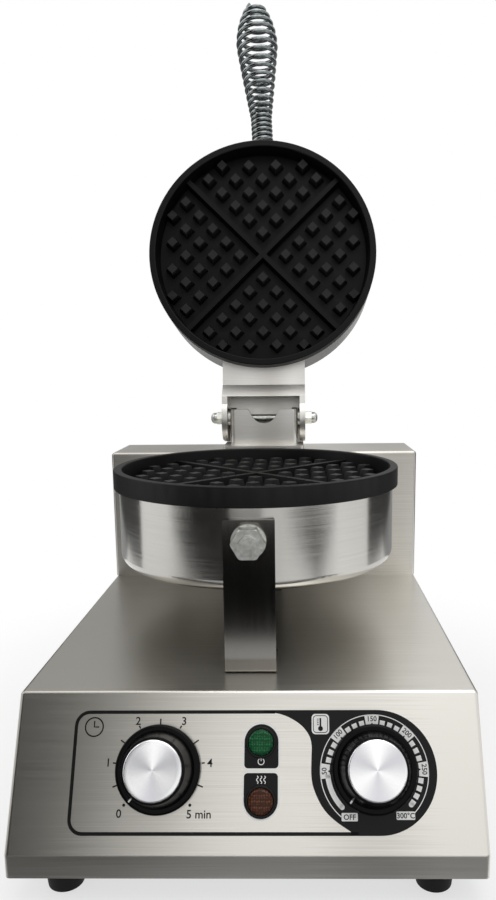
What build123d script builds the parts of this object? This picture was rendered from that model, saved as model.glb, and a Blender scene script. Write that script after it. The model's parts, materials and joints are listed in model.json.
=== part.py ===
"""Counter-top waffle maker with one round head, lid standing open.

A folded stainless casing with a sloped control panel stands on four rubber feet.  A taller
rear box behind it carries the hinge.  The lower baking plate sits in a spun pot above the
casing on two flat strips; the upper plate sits in a matching pot that swings on the hinge
pin and is lifted by a coiled wire handle.  Two knobs turn on the panel, two lamps sit
between them.

Units are millimetres.  +X is to the right of someone facing the panel, +Y is away from
them and +Z is up.  The origin is on the table under the middle of the overall box.
"""

from build123d import *
import os
from math import atan2, cos, degrees, hypot, pi, radians, sin, sqrt, tan

os.makedirs("parts", exist_ok=True)

# Casing and rear box
casing_width = 250.0
top_run = 225.0  # front top edge to the face of the rear box
box_depth = 60.0
casing_drop = 85.0  # casing top down to the lip's lower edge
lip_height = 12.7
panel_run = 37.0  # how far the panel leans forward on its way down
box_rise = 104.0
foot_height = 17.5
front_edge_y = -151.3  # where the casing's front top edge lies
sheet = 1.2
side_round = 2.5
fold_round = 2.0
flange = 12.0
cover_sheet = 1.0
fit_gap = 0.3
thread_gap = 0.05
near = 0.01  # places closer than this are the same
screw_inset = 36.0  # base plate's ends to its screws
cover_screw_inset = 24.0  # each box's ends to the cover's screws
pan_edge = 3.0  # a pan head's height against the round of its edge
nut_cone = 30.0  # slope of a nut's turned corners, off its axis
nut_corner_loss = 0.08  # how far those corners are turned down, against the nut's height

# Feet
foot_r = 11.5
foot_taper = 2.0
foot_inset_x = 25.0
foot_inset_front = 21.5
foot_inset_rear = 22.0
foot_screw_r = 2.0
foot_head_r = 4.0
foot_head_height = 2.6
foot_recess_r = 5.0
foot_recess_depth = 9.0
foot_screw_above = 3.0

# Baking plates
rim_width = 5.2
rim_height = 12.0
plate_depth = 20.8
recess_depth = 14.2
rim_draft = 8.0
rim_round = 0.9
stud_top = 6.2
stud_base = 9.4
stud_height = 8.5
stud_pitch = 16.0
first_stud = 13.6
stud_rows = 6
stud_margin = 6.0  # recess's edge to the middle of the outermost stud
divider_top = 4.0
divider_base = 6.6
divider_height = 8.5
lid_gap = 0.4

# Pots
lower_shell_r = 91.4
lower_shell_depth = 49.8
lower_overhang = 3.2  # the plate's rim beyond its pot's wall
upper_shell_r = 94.5
upper_shell_depth = 46.8
upper_overhang = -0.2
shell_wall = 1.0
shell_corner_r = 7.0
nut_to_box = 1.7  # end of the rear strip's bolt to the rear box
rim_above_casing = 108.8

# Heaters and what presses them
pad_inset = 6.4  # clamp plate's edge to where the bowl's floor turns up
heater_inset = 16.0  # clamp plate's edge to the middle of the heater's tube
heater_tube_r = 4.0
heater_open_angle = 24.0
heater_leg_length = 9.0
heater_bend_r = 9.0
clamp_sheet = 2.0
boss_r = 6.0
boss_ring_r = 38.0
boss_count = 3
clamp_screw_r = 2.5
clamp_head_r = 4.5
clamp_head_height = 3.0
pad_gap = 0.3
bulb_r = 3.0
bulb_length = 56.0
bulb_chamfer = 1.0

# Support strips
strip_width = 29.5
strip_plate = 3.0
strip_height = 90.2
strip_foot = 30.0
strip_bolt_up = 78.3
strip_bolt_r = 5.0
strip_nut_flats = 17.0
strip_nut_height = 8.0
strip_bolt_head = 6.4
strip_bolt_seat = 1.5
strip_bolt_end = 2.0
strip_washer_r = 10.0
strip_washer_height = 1.6
strip_screw_r = 2.5
strip_screw_gap = 16.0
strip_head_r = 4.5
strip_head_height = 3.0
strip_screw_length = 8.0

# Conduit between the pot and the rear box
conduit_r = 10.0
conduit_wall = 1.5
conduit_x = 34.0
conduit_up = 74.0

# Hinge
hinge_behind_face = 28.0  # rear box face to the pin's axis
hinge_above_box = 25.8
open_angle = 100.7
pin_r = 3.0
pin_clearance = 0.05
base_plate_sheet = 4.5
base_width = 66.0
base_front = 3.0  # rear box face to the hinge base's front edge
base_rear = 25.0  # pin axis to the hinge base's rear edge
channel_width = 56.0
channel_front = 13.0  # pin axis to the channel's front wall
channel_rise = 8.0  # how far the front wall stands above the axis
channel_ear_r = 8.7
notch_width = 26.5
notch_neck = 20.4
notch_shoulder = 5.2
notch_depth = 11.6
base_screw_r = 2.5
base_screw_head_r = 5.0
base_screw_length = 9.0
base_screw_x = 14.0
base_screw_front = 2.0  # pin axis to the front pair of hinge screws
base_screw_rear = 16.0
lead_slot_width = 22.0
lead_slot_height = 9.0
hex_socket_r = 1.5
bracket_bend_r = 3.6

# Lid bracket
bracket_width = 69.0
bracket_plate = 4.5
bracket_top = 14.0  # pin axis to the bracket's outer face
bracket_ear_r = 19.5
bracket_low = 8.0  # pin axis to the underside next to the lid
lip_near = 16.2  # pin axis to the lower lip's edge
lip_drop = 17.0
lip_far = 27.0
stop_gap = 0.3
washer_r = 8.0
washer_slack = 0.1
cap_nut_flats = 10.0
cap_nut_hex = 5.5
cap_nut_length = 10.5
cap_nut_dome = 3.0
cap_dome_r = 4.6
cap_nut_round = 3.45
pin_chamfer = 0.6

# Coil handle
wire_d = 3.4
handle_length = 140.0
handle_neck_d = 18.6
handle_belly_d = 36.5
handle_neck_end = 34.0
handle_belly_at = 98.0
handle_behind_face = 32.0
handle_lean = 3.0  # the coil sits a little off square on its stud
neck_pitch = 4.1
body_pitch = 6.9
pitch_blend = 6.0
tip_coil_r = 4.0
belly_ease = 0.12
tip_fullness = 0.8
coil_entry = 4.6
entry_turn = 0.125
stud_clearance = 0.25
stud_length = 30.0
collar_length = 3.0
stud_shank_r = 4.0
stud_chamfer = 1.0
handle_nut_flats = 13.0
handle_nut_height = 6.5

# Knobs
timer_x = -47.0
thermostat_x = 67.0
knob_down = 39.6  # along the panel from the top edge
skirt_r = 22.5
skirt_height = 3.0
grip_base_r = 19.5
grip_top_r = 16.2
knob_height = 18.0
knob_lift = 1.0
crown_round = 0.8
knob_cavity_r = 14.0
knob_cavity_depth = 7.0
cap_r = 15.0
cap_thickness = 1.6
cap_seat = 0.6
shaft_r = 3.0
shaft_clearance = 0.05
shaft_tail = 8.0
bush_r = 5.0
bush_stand = 5.0
panel_nut_flats = 14.0
panel_nut_height = 2.5
timer_body_size = 44.0
timer_body_depth = 34.0
thermostat_body_r = 20.0
thermostat_body_depth = 30.0

# Lamps
lamp_x = 7.2
power_lamp_down = 26.3
heat_lamp_down = 55.5
lens_r = 6.6
lens_rise = 3.0
bezel_r = 8.0
bezel_rise = 1.2
lens_round = 1.8
bezel_round = 0.4
lamp_body_r = 6.0
lamp_body_depth = 24.0

# Rear cover, gland and terminal block
cover_margin = 2.0
louvre_width = 60.0
louvre_height = 3.0
louvre_pitch = 9.0
louvre_count = 6
cover_screw_r = 1.75
cover_head_r = 3.5
cover_head_height = 2.0
cover_screw_length = 7.0
gland_from_side = 45.0
gland_up = 36.0
gland_bore_r = 4.2
gland_body_r = 8.0
gland_nut_flats = 22.0
gland_nut_height = 6.0
gland_cap_r = 9.5
gland_cap_length = 14.0
gland_round = 2.5
block_length = 46.0
block_depth = 20.0
block_height = 18.0
block_edge = 1.5
block_poles = 4
block_hole_r = 2.9
block_aside = 46.0  # gland's axis to the block's middle

# Places worked out from the sizes
casing_floor_z = foot_height
casing_top_z = foot_height + casing_drop
panel_drop = casing_drop - lip_height
panel_length = hypot(panel_run, panel_drop)
lip_y = front_edge_y - panel_run
box_face_y = front_edge_y + top_run
box_back_y = box_face_y + box_depth
box_top_z = casing_top_z + box_rise
half_width = casing_width / 2
bolt_reach = strip_plate + strip_washer_height + strip_nut_height + strip_bolt_end
pot_y = box_face_y - nut_to_box - bolt_reach - lower_shell_r
rim_z = casing_top_z + rim_above_casing
hinge_y = box_face_y + hinge_behind_face
hinge_z = box_top_z + hinge_above_box
hinge_base_z = box_top_z + base_plate_sheet
lid_reach = hinge_y - pot_y
lid_face_local_z = rim_z + lid_gap - hinge_z
base_x = half_width - sheet - fit_gap
base_front_y = lip_y + sheet + fit_gap
base_back_y = box_back_y - sheet - fit_gap
foot_x = half_width - foot_inset_x
foot_ys = (lip_y + foot_inset_front, box_back_y - foot_inset_rear)
foot_places = [(x, y) for y in foot_ys for x in (-foot_x, foot_x)]
rim_screw_x = half_width - sheet - flange / 2
base_screw_ys = (base_front_y + screw_inset, base_back_y - screw_inset)
base_screw_places = [(x, y) for y in base_screw_ys for x in (-rim_screw_x, rim_screw_x)]
cover_screw_zs = (
    casing_floor_z + cover_screw_inset,
    casing_top_z + cover_screw_inset,
    box_top_z - cover_screw_inset,
)
hinge_screw_ys = (hinge_y - base_screw_front, hinge_y + base_screw_rear)
hinge_screw_places = [(x, y) for y in hinge_screw_ys for x in (-base_screw_x, base_screw_x)]
cover_screw_places = [(x, z) for z in cover_screw_zs for x in (-rim_screw_x, rim_screw_x)]
gland_x = half_width - gland_from_side

panel = Plane(
    origin=(0, front_edge_y, casing_top_z),
    x_dir=(1, 0, 0),
    z_dir=(0, -panel_drop / panel_length, panel_run / panel_length),
)
# The lid is drawn closed, about the pin, and this frame leans it back to where it rests.
lean = radians(open_angle)
lid_frame = Plane(origin=(0, hinge_y, hinge_z), x_dir=(1, 0, 0), z_dir=(0, sin(lean), cos(lean)))


def within(frame, plane):
    """A plane given in a frame's own coordinates, placed in the world."""
    return Plane(frame.location * plane.location)


def keep(part, name):
    """Label a finished piece and write it under its name."""
    part.label = name
    export_step(part, f"parts/{name}.step")


lower_frame = Plane(origin=(0, pot_y, rim_z))
upper_frame = within(
    lid_frame, Plane(origin=(0, -lid_reach, lid_face_local_z), x_dir=(1, 0, 0), z_dir=(0, 0, -1))
)

strip_mid = lower_shell_r - strip_foot / 2

# Casing: folded sheet with returned edges, open below and behind
casing_outline = [
    (front_edge_y, casing_top_z),
    (lip_y, casing_floor_z + lip_height),
    (lip_y, casing_floor_z),
    (box_back_y, casing_floor_z),
    (box_back_y, casing_top_z),
]


def casing_block(inset):
    """The casing's outside form, or the space inside it when inset by the sheet."""
    with BuildPart() as block:
        with BuildSketch(Plane.YZ.offset(-(half_width - inset))):
            with BuildLine():
                Polyline(*casing_outline, close=True)
            make_face()
            if inset:
                offset(amount=-inset, kind=Kind.INTERSECTION)
        extrude(amount=2 * (half_width - inset))
        folds = block.edges().filter_by(Axis.X)
        upper = [e for e in folds if e.center().Z > casing_floor_z + lip_height / 2]
        front = [e for e in upper if e.center().Y < box_face_y]
        fillet(front, fold_round - inset)
        sides = [
            e
            for e in block.edges()
            if abs(abs(e.center().X) - (half_width - inset)) < near
            and e.center().Z > casing_floor_z + 2 * sheet
            and e.center().Y < box_back_y - 2 * sheet
        ]
        fillet(sides, side_round - inset)
    return block.part


with BuildPart() as casing:
    add(casing_block(0))
    add(casing_block(sheet), mode=Mode.SUBTRACT)
    # The wall's lower and rear ends are cut back to a returned edge.
    inner_front = lip_y + sheet
    inner_back = box_back_y - sheet
    mid_y = (inner_front + inner_back) / 2
    with BuildSketch(Plane.XY.offset(casing_floor_z)):
        with Locations((0, mid_y)):
            Rectangle(casing_width - 2 * sheet, inner_back - inner_front)
    extrude(amount=sheet, mode=Mode.SUBTRACT)
    with BuildSketch(Plane.XY.offset(casing_floor_z + cover_sheet)):
        with Locations((0, mid_y)):
            Rectangle(casing_width - 2 * sheet, inner_back - inner_front)
            Rectangle(
                casing_width - 2 * (sheet + flange),
                inner_back - inner_front - 2 * flange,
                mode=Mode.SUBTRACT,
            )
    extrude(amount=sheet)
    with BuildSketch(Plane.XZ.offset(-box_back_y)):
        with Locations((0, (casing_floor_z + casing_top_z) / 2)):
            Rectangle(casing_width - 2 * (sheet + flange), casing_drop - 2 * (sheet + flange))
    extrude(amount=sheet, mode=Mode.SUBTRACT)
    # Screw holes in the returned edges
    with BuildSketch(Plane.XY.offset(casing_floor_z)):
        with Locations(*base_screw_places):
            Circle(cover_screw_r)
    extrude(amount=cover_sheet + sheet, mode=Mode.SUBTRACT)
    with BuildSketch(Plane.XZ.offset(-box_back_y)):
        with Locations(*cover_screw_places[:2]):
            Circle(cover_screw_r)
    extrude(amount=sheet, mode=Mode.SUBTRACT)
    # Way through to the rear box
    with BuildSketch(Plane.XY.offset(casing_top_z)):
        with Locations((0, (box_face_y + box_back_y) / 2)):
            Rectangle(casing_width - 4 * (sheet + flange), box_depth - 2 * (sheet + flange))
    extrude(amount=-sheet, mode=Mode.SUBTRACT)
    # Holes in the panel for the two bushes and the two lamps
    with BuildSketch(panel):
        with Locations((timer_x, -knob_down), (thermostat_x, -knob_down)):
            Circle(bush_r + shaft_clearance)
        with Locations((lamp_x, -power_lamp_down), (lamp_x, -heat_lamp_down)):
            Circle(lamp_body_r + shaft_clearance)
    extrude(amount=-2 * sheet, mode=Mode.SUBTRACT)
    # Screw holes under the two strips
    with BuildSketch(Plane.XY.offset(casing_top_z)):
        with Locations((0, pot_y - strip_mid), (0, pot_y + strip_mid)):
            with Locations((-strip_screw_gap / 2, 0), (strip_screw_gap / 2, 0)):
                Circle(strip_screw_r)
    extrude(amount=-sheet, mode=Mode.SUBTRACT)
keep(casing.part, "casing")

# Rear box: same sheet, stands on the casing's top, open behind and below
with BuildPart() as rear_box:
    with BuildSketch(Plane.XY.offset(casing_top_z)):
        with Locations((0, (box_face_y + box_back_y) / 2)):
            Rectangle(casing_width, box_depth)
    extrude(amount=box_rise)
    uprights = rear_box.edges().filter_by(Axis.Z).group_by(Axis.Y)[0]
    crown = [
        e for e in rear_box.edges().group_by(Axis.Z)[-1] if e.center().Y < box_back_y - sheet
    ]
    fillet(uprights + ShapeList(crown), side_round)
    with BuildSketch(Plane.XY.offset(casing_top_z + sheet)):
        with Locations((0, (box_face_y + box_back_y) / 2)):
            Rectangle(casing_width - 2 * sheet, box_depth - 2 * sheet)
    extrude(amount=box_rise - 2 * sheet, mode=Mode.SUBTRACT)
    with BuildSketch(Plane.XY.offset(casing_top_z)):
        with Locations((0, (box_face_y + box_back_y) / 2)):
            Rectangle(casing_width - 2 * (sheet + flange), box_depth - 2 * (sheet + flange))
    extrude(amount=sheet, mode=Mode.SUBTRACT)
    with BuildSketch(Plane.XZ.offset(-box_back_y)):
        with Locations((0, casing_top_z + box_rise / 2)):
            Rectangle(casing_width - 2 * (sheet + flange), box_rise - 2 * (sheet + flange))
        with Locations(*cover_screw_places[2:]):
            Circle(cover_screw_r)
    extrude(amount=sheet, mode=Mode.SUBTRACT)
    # Conduit hole in the front wall, lead hole under the hinge channel
    with BuildSketch(Plane.XZ.offset(-box_face_y)):
        with Locations((conduit_x, casing_top_z + conduit_up)):
            Circle(conduit_r)
    extrude(amount=-sheet, mode=Mode.SUBTRACT)
    with BuildSketch(Plane.XY.offset(box_top_z)):
        with Locations((0, hinge_y + (base_screw_rear - base_screw_front) / 2)):
            SlotOverall(lead_slot_width, lead_slot_height)
        with Locations(*hinge_screw_places):
            Circle(base_screw_r)
    extrude(amount=-sheet, mode=Mode.SUBTRACT)
keep(rear_box.part, "rear_box")

# Base plate: closes the casing from below and carries the feet
with BuildPart() as base_plate:
    with BuildSketch(Plane.XY.offset(casing_floor_z)):
        with Locations((0, (base_front_y + base_back_y) / 2)):
            Rectangle(2 * base_x, base_back_y - base_front_y)
            with GridLocations(louvre_width + flange, 2 * louvre_pitch, 2, louvre_count):
                SlotOverall(louvre_width, louvre_height, mode=Mode.SUBTRACT)
        with Locations(*foot_places):
            Circle(foot_screw_r, mode=Mode.SUBTRACT)
        with Locations(*base_screw_places):
            Circle(cover_screw_r, mode=Mode.SUBTRACT)
    extrude(amount=cover_sheet)
keep(base_plate.part, "base_plate")


def pan_screw(face, places, shank_r, head_r, head_height, length):
    """Pan-head screws that press on a face and reach back behind it."""
    with BuildPart() as screws:
        with BuildSketch(face):
            with Locations(*places):
                Circle(head_r)
        extrude(amount=head_height)
        crowns = screws.edges().group_by(Axis(face.origin, face.z_dir))[-1]
        fillet(crowns, head_height / pan_edge)
        with BuildSketch(face):
            with Locations(*places):
                Circle(shank_r)
        extrude(amount=-length)
    return screws.part


# Rubber feet, each with a screw up through its recess
foot_names = ("foot_front_left", "foot_front_right", "foot_rear_left", "foot_rear_right")
for name, place in zip(foot_names, foot_places):
    with BuildPart() as foot:
        with BuildSketch(Plane.XY.offset(casing_floor_z)):
            with Locations(place):
                Circle(foot_r)
        extrude(amount=-foot_height, taper=degrees(atan2(foot_taper, foot_height)))
        fillet(foot.edges().group_by(Axis.Z)[0], foot_taper / 2)
        with BuildSketch():
            with Locations(place):
                Circle(foot_recess_r)
        extrude(amount=foot_recess_depth, mode=Mode.SUBTRACT)
        with BuildSketch():
            with Locations(place):
                Circle(foot_screw_r)
        extrude(amount=foot_height, mode=Mode.SUBTRACT)
    keep(foot.part, name)

below = Plane(origin=(0, 0, 0), x_dir=(1, 0, 0), z_dir=(0, 0, -1))
foot_face = below.offset(-foot_recess_depth)
foot_screw_length = foot_height - foot_recess_depth + cover_sheet + foot_screw_above
turned_feet = [(x, -y) for x, y in foot_places]
keep(
    pan_screw(foot_face, turned_feet, foot_screw_r, foot_head_r, foot_head_height, foot_screw_length),
    "foot_screws",
)
base_face = below.offset(-casing_floor_z)
turned_base = [(x, -y) for x, y in base_screw_places]
keep(
    pan_screw(base_face, turned_base, cover_screw_r, cover_head_r, cover_head_height, cover_screw_length),
    "base_screws",
)

# Rear cover: one louvred sheet over the open backs of casing and rear box
behind = Plane(origin=(0, box_back_y, 0), x_dir=(-1, 0, 0), z_dir=(0, 1, 0))
with BuildPart() as rear_cover:
    cover_bottom = casing_floor_z + cover_margin
    cover_top = box_top_z - cover_margin
    with BuildSketch(behind):
        with Locations((0, (cover_bottom + cover_top) / 2)):
            RectangleRounded(casing_width - 2 * cover_margin, cover_top - cover_bottom, side_round)
        with Locations(*cover_screw_places):
            Circle(cover_screw_r, mode=Mode.SUBTRACT)
        with Locations((0, casing_top_z + box_rise / 2)):
            with GridLocations(louvre_width + flange, louvre_pitch, 2, louvre_count):
                SlotOverall(louvre_width, louvre_height, mode=Mode.SUBTRACT)
        with Locations((-gland_x, casing_floor_z + gland_up)):
            Circle(gland_body_r, mode=Mode.SUBTRACT)
    extrude(amount=cover_sheet)
keep(rear_cover.part, "rear_cover")
keep(
    pan_screw(behind.offset(cover_sheet), cover_screw_places, cover_screw_r, cover_head_r,
              cover_head_height, cover_screw_length),
    "cover_screws",
)

# Cable gland: threaded body through the cover, nut inside, cap outside
gland_plane = behind.offset(cover_sheet)
gland_place = (-gland_x, casing_floor_z + gland_up)
with BuildPart() as cable_gland:
    with BuildSketch(gland_plane):
        with Locations(gland_place):
            RegularPolygon(gland_nut_flats / 2, 6, major_radius=False)
    extrude(amount=gland_nut_height)
    with BuildSketch(gland_plane.offset(gland_nut_height)):
        with Locations(gland_place):
            Circle(gland_cap_r)
    extrude(amount=gland_cap_length - gland_nut_height)
    fillet(cable_gland.edges().group_by(Axis.Y)[-1], gland_round)
    with BuildSketch(gland_plane.offset(-cover_sheet - 2 * gland_nut_height)):
        with Locations(gland_place):
            Circle(gland_body_r)
    extrude(amount=cover_sheet + 2 * gland_nut_height)
    with BuildSketch(gland_plane.offset(gland_cap_length)):
        with Locations(gland_place):
            Circle(gland_bore_r)
    extrude(amount=-gland_cap_length - cover_sheet - 2 * gland_nut_height, mode=Mode.SUBTRACT)
keep(cable_gland.part, "cable_gland")
with BuildPart() as gland_nut:
    with BuildSketch(behind):
        with Locations(gland_place):
            RegularPolygon(gland_nut_flats / 2, 6, major_radius=False)
            Circle(gland_body_r, mode=Mode.SUBTRACT)
    extrude(amount=-gland_nut_height)
keep(gland_nut.part, "gland_nut")

# Terminal block on the base plate, with a row of clamp pockets
block_place = (gland_x - block_aside, base_back_y - screw_inset)
with BuildPart() as terminal_block:
    with BuildSketch(Plane.XY.offset(casing_floor_z + cover_sheet)):
        with Locations(block_place):
            Rectangle(block_length, block_depth)
    extrude(amount=block_height)
    chamfer(terminal_block.edges().group_by(Axis.Z)[-1], block_edge)
    with BuildSketch(Plane.XY.offset(casing_floor_z + cover_sheet + block_height)):
        with Locations(block_place):
            with GridLocations(block_length / block_poles, block_depth / 2, block_poles, 2):
                Circle(block_hole_r)
    extrude(amount=-block_height / 2, mode=Mode.SUBTRACT)
keep(terminal_block.part, "terminal_block")


def baking_plate(frame, shell_r, rim_r):
    """A cast plate: raised rim, crossed dividers, tapered square studs, three bosses below."""
    recess_r = rim_r - rim_width
    floor_r = recess_r - recess_depth * tan(radians(rim_draft))
    under_r = shell_r - shell_wall - fit_gap
    stud_reach = recess_r - stud_margin
    with BuildPart() as plate:
        with BuildSketch(within(frame, Plane.XZ)) as section:
            with BuildLine():
                Polyline(
                    (0, -plate_depth),
                    (under_r, -plate_depth),
                    (under_r, -rim_height),
                    (rim_r, -rim_height),
                    (rim_r, 0),
                    (recess_r, 0),
                    (floor_r, -recess_depth),
                    (0, -recess_depth),
                    close=True,
                )
            make_face()
            rim_corners = section.vertices().filter_by(lambda v: v.X > recess_r - near and v.Y > -near)
            fillet(rim_corners, rim_round)
        revolve(axis=Axis(frame.origin, frame.z_dir))
        taper = degrees(atan2((stud_base - stud_top) / 2, stud_height))
        with BuildSketch(frame.offset(-recess_depth)):
            for row in range(stud_rows):
                for column in range(stud_rows):
                    across = first_stud + row * stud_pitch
                    along = first_stud + column * stud_pitch
                    if hypot(across, along) < stud_reach:
                        for turn in range(4):
                            with Locations(Location((0, 0, 0), (0, 0, 45 + 90 * turn))):
                                with Locations((across, along)):
                                    Rectangle(stud_base, stud_base)
        extrude(amount=stud_height, taper=taper)
        ridge_taper = degrees(atan2((divider_base - divider_top) / 2, divider_height))
        for turn in (45, -45):
            with BuildSketch(frame.offset(-recess_depth)):
                with Locations(Location((0, 0, 0), (0, 0, turn))):
                    Rectangle(2 * (under_r - fit_gap), divider_base)
            extrude(amount=divider_height, taper=ridge_taper)
        with BuildSketch(frame.offset(-plate_depth)):
            with PolarLocations(boss_ring_r, boss_count, start_angle=90):
                Circle(boss_r)
        extrude(amount=-2 * heater_tube_r)
        with BuildSketch(frame.offset(-plate_depth - 2 * heater_tube_r)):
            with PolarLocations(boss_ring_r, boss_count, start_angle=90):
                Circle(clamp_screw_r)
        extrude(amount=2 * heater_tube_r, mode=Mode.SUBTRACT)
    return plate.part


keep(baking_plate(lower_frame, lower_shell_r, lower_shell_r + lower_overhang), "lower_plate")
keep(baking_plate(upper_frame, upper_shell_r, upper_shell_r + upper_overhang), "upper_plate")


def bowl(radius, floor_z, corner_r):
    """The outline of half a bowl's section, from its axis out to its wall."""
    with BuildLine() as outline:
        FilletPolyline((0, floor_z), (radius, floor_z), (radius, -rim_height), radius=corner_r)
        Polyline((radius, -rim_height), (0, -rim_height), (0, floor_z))
    return outline.edges()


def pot_shell(frame, shell_r, depth):
    """A spun bowl that hangs under a plate's rim."""
    floor_z = -rim_height - depth
    with BuildPart() as shell:
        with BuildSketch(within(frame, Plane.XZ)):
            make_face(bowl(shell_r, floor_z, shell_corner_r))
            inside = bowl(shell_r - shell_wall, floor_z + shell_wall, shell_corner_r - shell_wall)
            make_face(inside, mode=Mode.SUBTRACT)
        revolve(axis=Axis(frame.origin, frame.z_dir))
    return shell.part


strip_bolt_z = strip_bolt_up - rim_above_casing
conduit_z = conduit_up - rim_above_casing
with BuildPart() as lower_shell:
    add(pot_shell(lower_frame, lower_shell_r, lower_shell_depth))
    with BuildSketch(within(lower_frame, Plane.XZ)):
        with Locations((0, strip_bolt_z)):
            Circle(strip_bolt_r + thread_gap)
    extrude(amount=lower_shell_r + sheet, both=True, mode=Mode.SUBTRACT)
    with BuildSketch(within(lower_frame, Plane.XZ)):
        with Locations((conduit_x, conduit_z)):
            Circle(conduit_r)
    extrude(amount=-lower_shell_r, mode=Mode.SUBTRACT)
keep(lower_shell.part, "lower_shell")

handle_frame = within(
    upper_frame,
    Plane(
        origin=(0, upper_shell_r, -handle_behind_face),
        x_dir=(cos(radians(handle_lean)), sin(radians(handle_lean)), 0),
        z_dir=(-sin(radians(handle_lean)), cos(radians(handle_lean)), 0),
    ),
)
with BuildPart() as lid_shell:
    add(pot_shell(upper_frame, upper_shell_r, upper_shell_depth))
    with BuildSketch(handle_frame.offset(-2 * collar_length)):
        Circle(stud_shank_r + thread_gap)
    extrude(amount=3 * collar_length, mode=Mode.SUBTRACT)
keep(lid_shell.part, "lid_shell")


def clamp_radius(shell_r):
    """How wide a bowl's clamp plate and pad are: they stay inside the turn of its floor."""
    return shell_r - shell_corner_r - pad_inset


def heater(frame, shell_r):
    """A tubular heater bent to an open ring, both ends turned out towards the hinge side."""
    heater_ring_r = clamp_radius(shell_r) - heater_inset
    with BuildPart() as tube:
        with BuildLine(frame.offset(-plate_depth - heater_tube_r)) as route:
            half_gap = heater_open_angle / 2
            ring = CenterArc((0, 0), heater_ring_r, -90, 180 - half_gap)
            bend = JernArc(ring @ 1, ring % 1, heater_bend_r, half_gap - 90)
            PolarLine(bend @ 1, heater_leg_length, direction=bend % 1)
        with BuildSketch(Plane(ring @ 0, z_dir=ring % 0)):
            Circle(heater_tube_r)
        sweep(path=route.wire())
        mirror(about=Plane(frame.origin, z_dir=frame.x_dir))
    return tube.part


keep(heater(lower_frame, lower_shell_r), "lower_heater")
keep(heater(upper_frame, upper_shell_r), "upper_heater")

# Clamp plates press the heaters up; insulation pads fill the space behind them
clamp_level = -plate_depth - 2 * heater_tube_r


def clamp_plate(frame, shell_r):
    """A disc under the heater with three screw holes."""
    with BuildPart() as clamp:
        with BuildSketch(frame.offset(clamp_level)):
            Circle(clamp_radius(shell_r))
            with PolarLocations(boss_ring_r, boss_count, start_angle=90):
                Circle(clamp_screw_r, mode=Mode.SUBTRACT)
        extrude(amount=-clamp_sheet)
    return clamp.part


def clamp_screws(frame):
    """Three screws up into the plate's bosses."""
    with BuildPart() as screws:
        with BuildSketch(frame.offset(clamp_level - clamp_sheet)):
            with PolarLocations(boss_ring_r, boss_count, start_angle=90):
                Circle(clamp_head_r)
        extrude(amount=-clamp_head_height)
        with BuildSketch(frame.offset(clamp_level - clamp_sheet)):
            with PolarLocations(boss_ring_r, boss_count, start_angle=90):
                Circle(clamp_screw_r)
        extrude(amount=clamp_sheet + 2 * heater_tube_r - fit_gap)
    return screws.part


def insulation(frame, shell_r, shell_depth):
    """A fibre pad from the clamp plate to the bowl's floor, pierced for the screw heads."""
    pad_thickness = shell_depth + rim_height - shell_wall + clamp_level - clamp_sheet - pad_gap
    with BuildPart() as pad:
        with BuildSketch(frame.offset(clamp_level - clamp_sheet)):
            Circle(clamp_radius(shell_r))
            with PolarLocations(boss_ring_r, boss_count, start_angle=90):
                Circle(clamp_head_r + fit_gap, mode=Mode.SUBTRACT)
        extrude(amount=-pad_thickness)
    return pad.part


with BuildPart() as lower_clamp_plate:
    add(clamp_plate(lower_frame, lower_shell_r))
    # Saddle that presses the thermostat's bulb against the plate
    with BuildSketch(lower_frame.offset(clamp_level)):
        Rectangle(bulb_length / 2, 2 * bulb_r)
    extrude(amount=2 * (heater_tube_r - bulb_r))
keep(lower_clamp_plate.part, "lower_clamp_plate")
keep(clamp_plate(upper_frame, upper_shell_r), "upper_clamp_plate")
keep(clamp_screws(lower_frame), "lower_clamp_screws")
keep(clamp_screws(upper_frame), "upper_clamp_screws")
keep(insulation(lower_frame, lower_shell_r, lower_shell_depth), "lower_insulation")
keep(insulation(upper_frame, upper_shell_r, upper_shell_depth), "upper_insulation")

with BuildPart() as thermostat_bulb:
    bulb_start = within(
        lower_frame.offset(-plate_depth - bulb_r),
        Plane(origin=(-bulb_length / 2, 0, 0), z_dir=(1, 0, 0)),
    )
    with BuildSketch(bulb_start):
        Circle(bulb_r)
    extrude(amount=bulb_length)
    chamfer(thermostat_bulb.edges(), bulb_chamfer)
keep(thermostat_bulb.part, "thermostat_bulb")

# Support strips: flat bars with a foot turned in under the pot
strip_front = Plane(origin=(0, pot_y - lower_shell_r, casing_top_z), x_dir=(1, 0, 0), z_dir=(0, -1, 0))
strip_back = Plane(origin=(0, pot_y + lower_shell_r, casing_top_z), x_dir=(-1, 0, 0), z_dir=(0, 1, 0))
for name, face in (("front_strip", strip_front), ("rear_strip", strip_back)):
    with BuildPart() as strip:
        with BuildSketch(within(face, Plane.YZ.offset(-strip_width / 2))):
            with BuildLine():
                Polyline(
                    (strip_height, 0),
                    (strip_height, strip_plate),
                    (0, strip_plate),
                    (0, strip_plate - strip_foot),
                    (strip_plate, strip_plate - strip_foot),
                    (strip_plate, 0),
                    close=True,
                )
            make_face()
        extrude(amount=strip_width)
        bends = strip.edges().filter_by(Axis.X).group_by(Axis.Z)
        outer = bends[0].sort_by(Axis(face.origin, face.z_dir))[-1]
        fillet(outer, strip_plate)
        with BuildSketch(face.offset(strip_plate)):
            with Locations((0, strip_bolt_up)):
                Circle(strip_bolt_r + thread_gap)
        extrude(amount=-strip_plate, mode=Mode.SUBTRACT)
        with BuildSketch(Plane.XY.offset(casing_top_z)):
            with Locations((0, pot_y - strip_mid), (0, pot_y + strip_mid)):
                with Locations((-strip_screw_gap / 2, 0), (strip_screw_gap / 2, 0)):
                    Circle(strip_screw_r)
        extrude(amount=strip_plate, mode=Mode.SUBTRACT)
    keep(strip.part, name)

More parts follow.
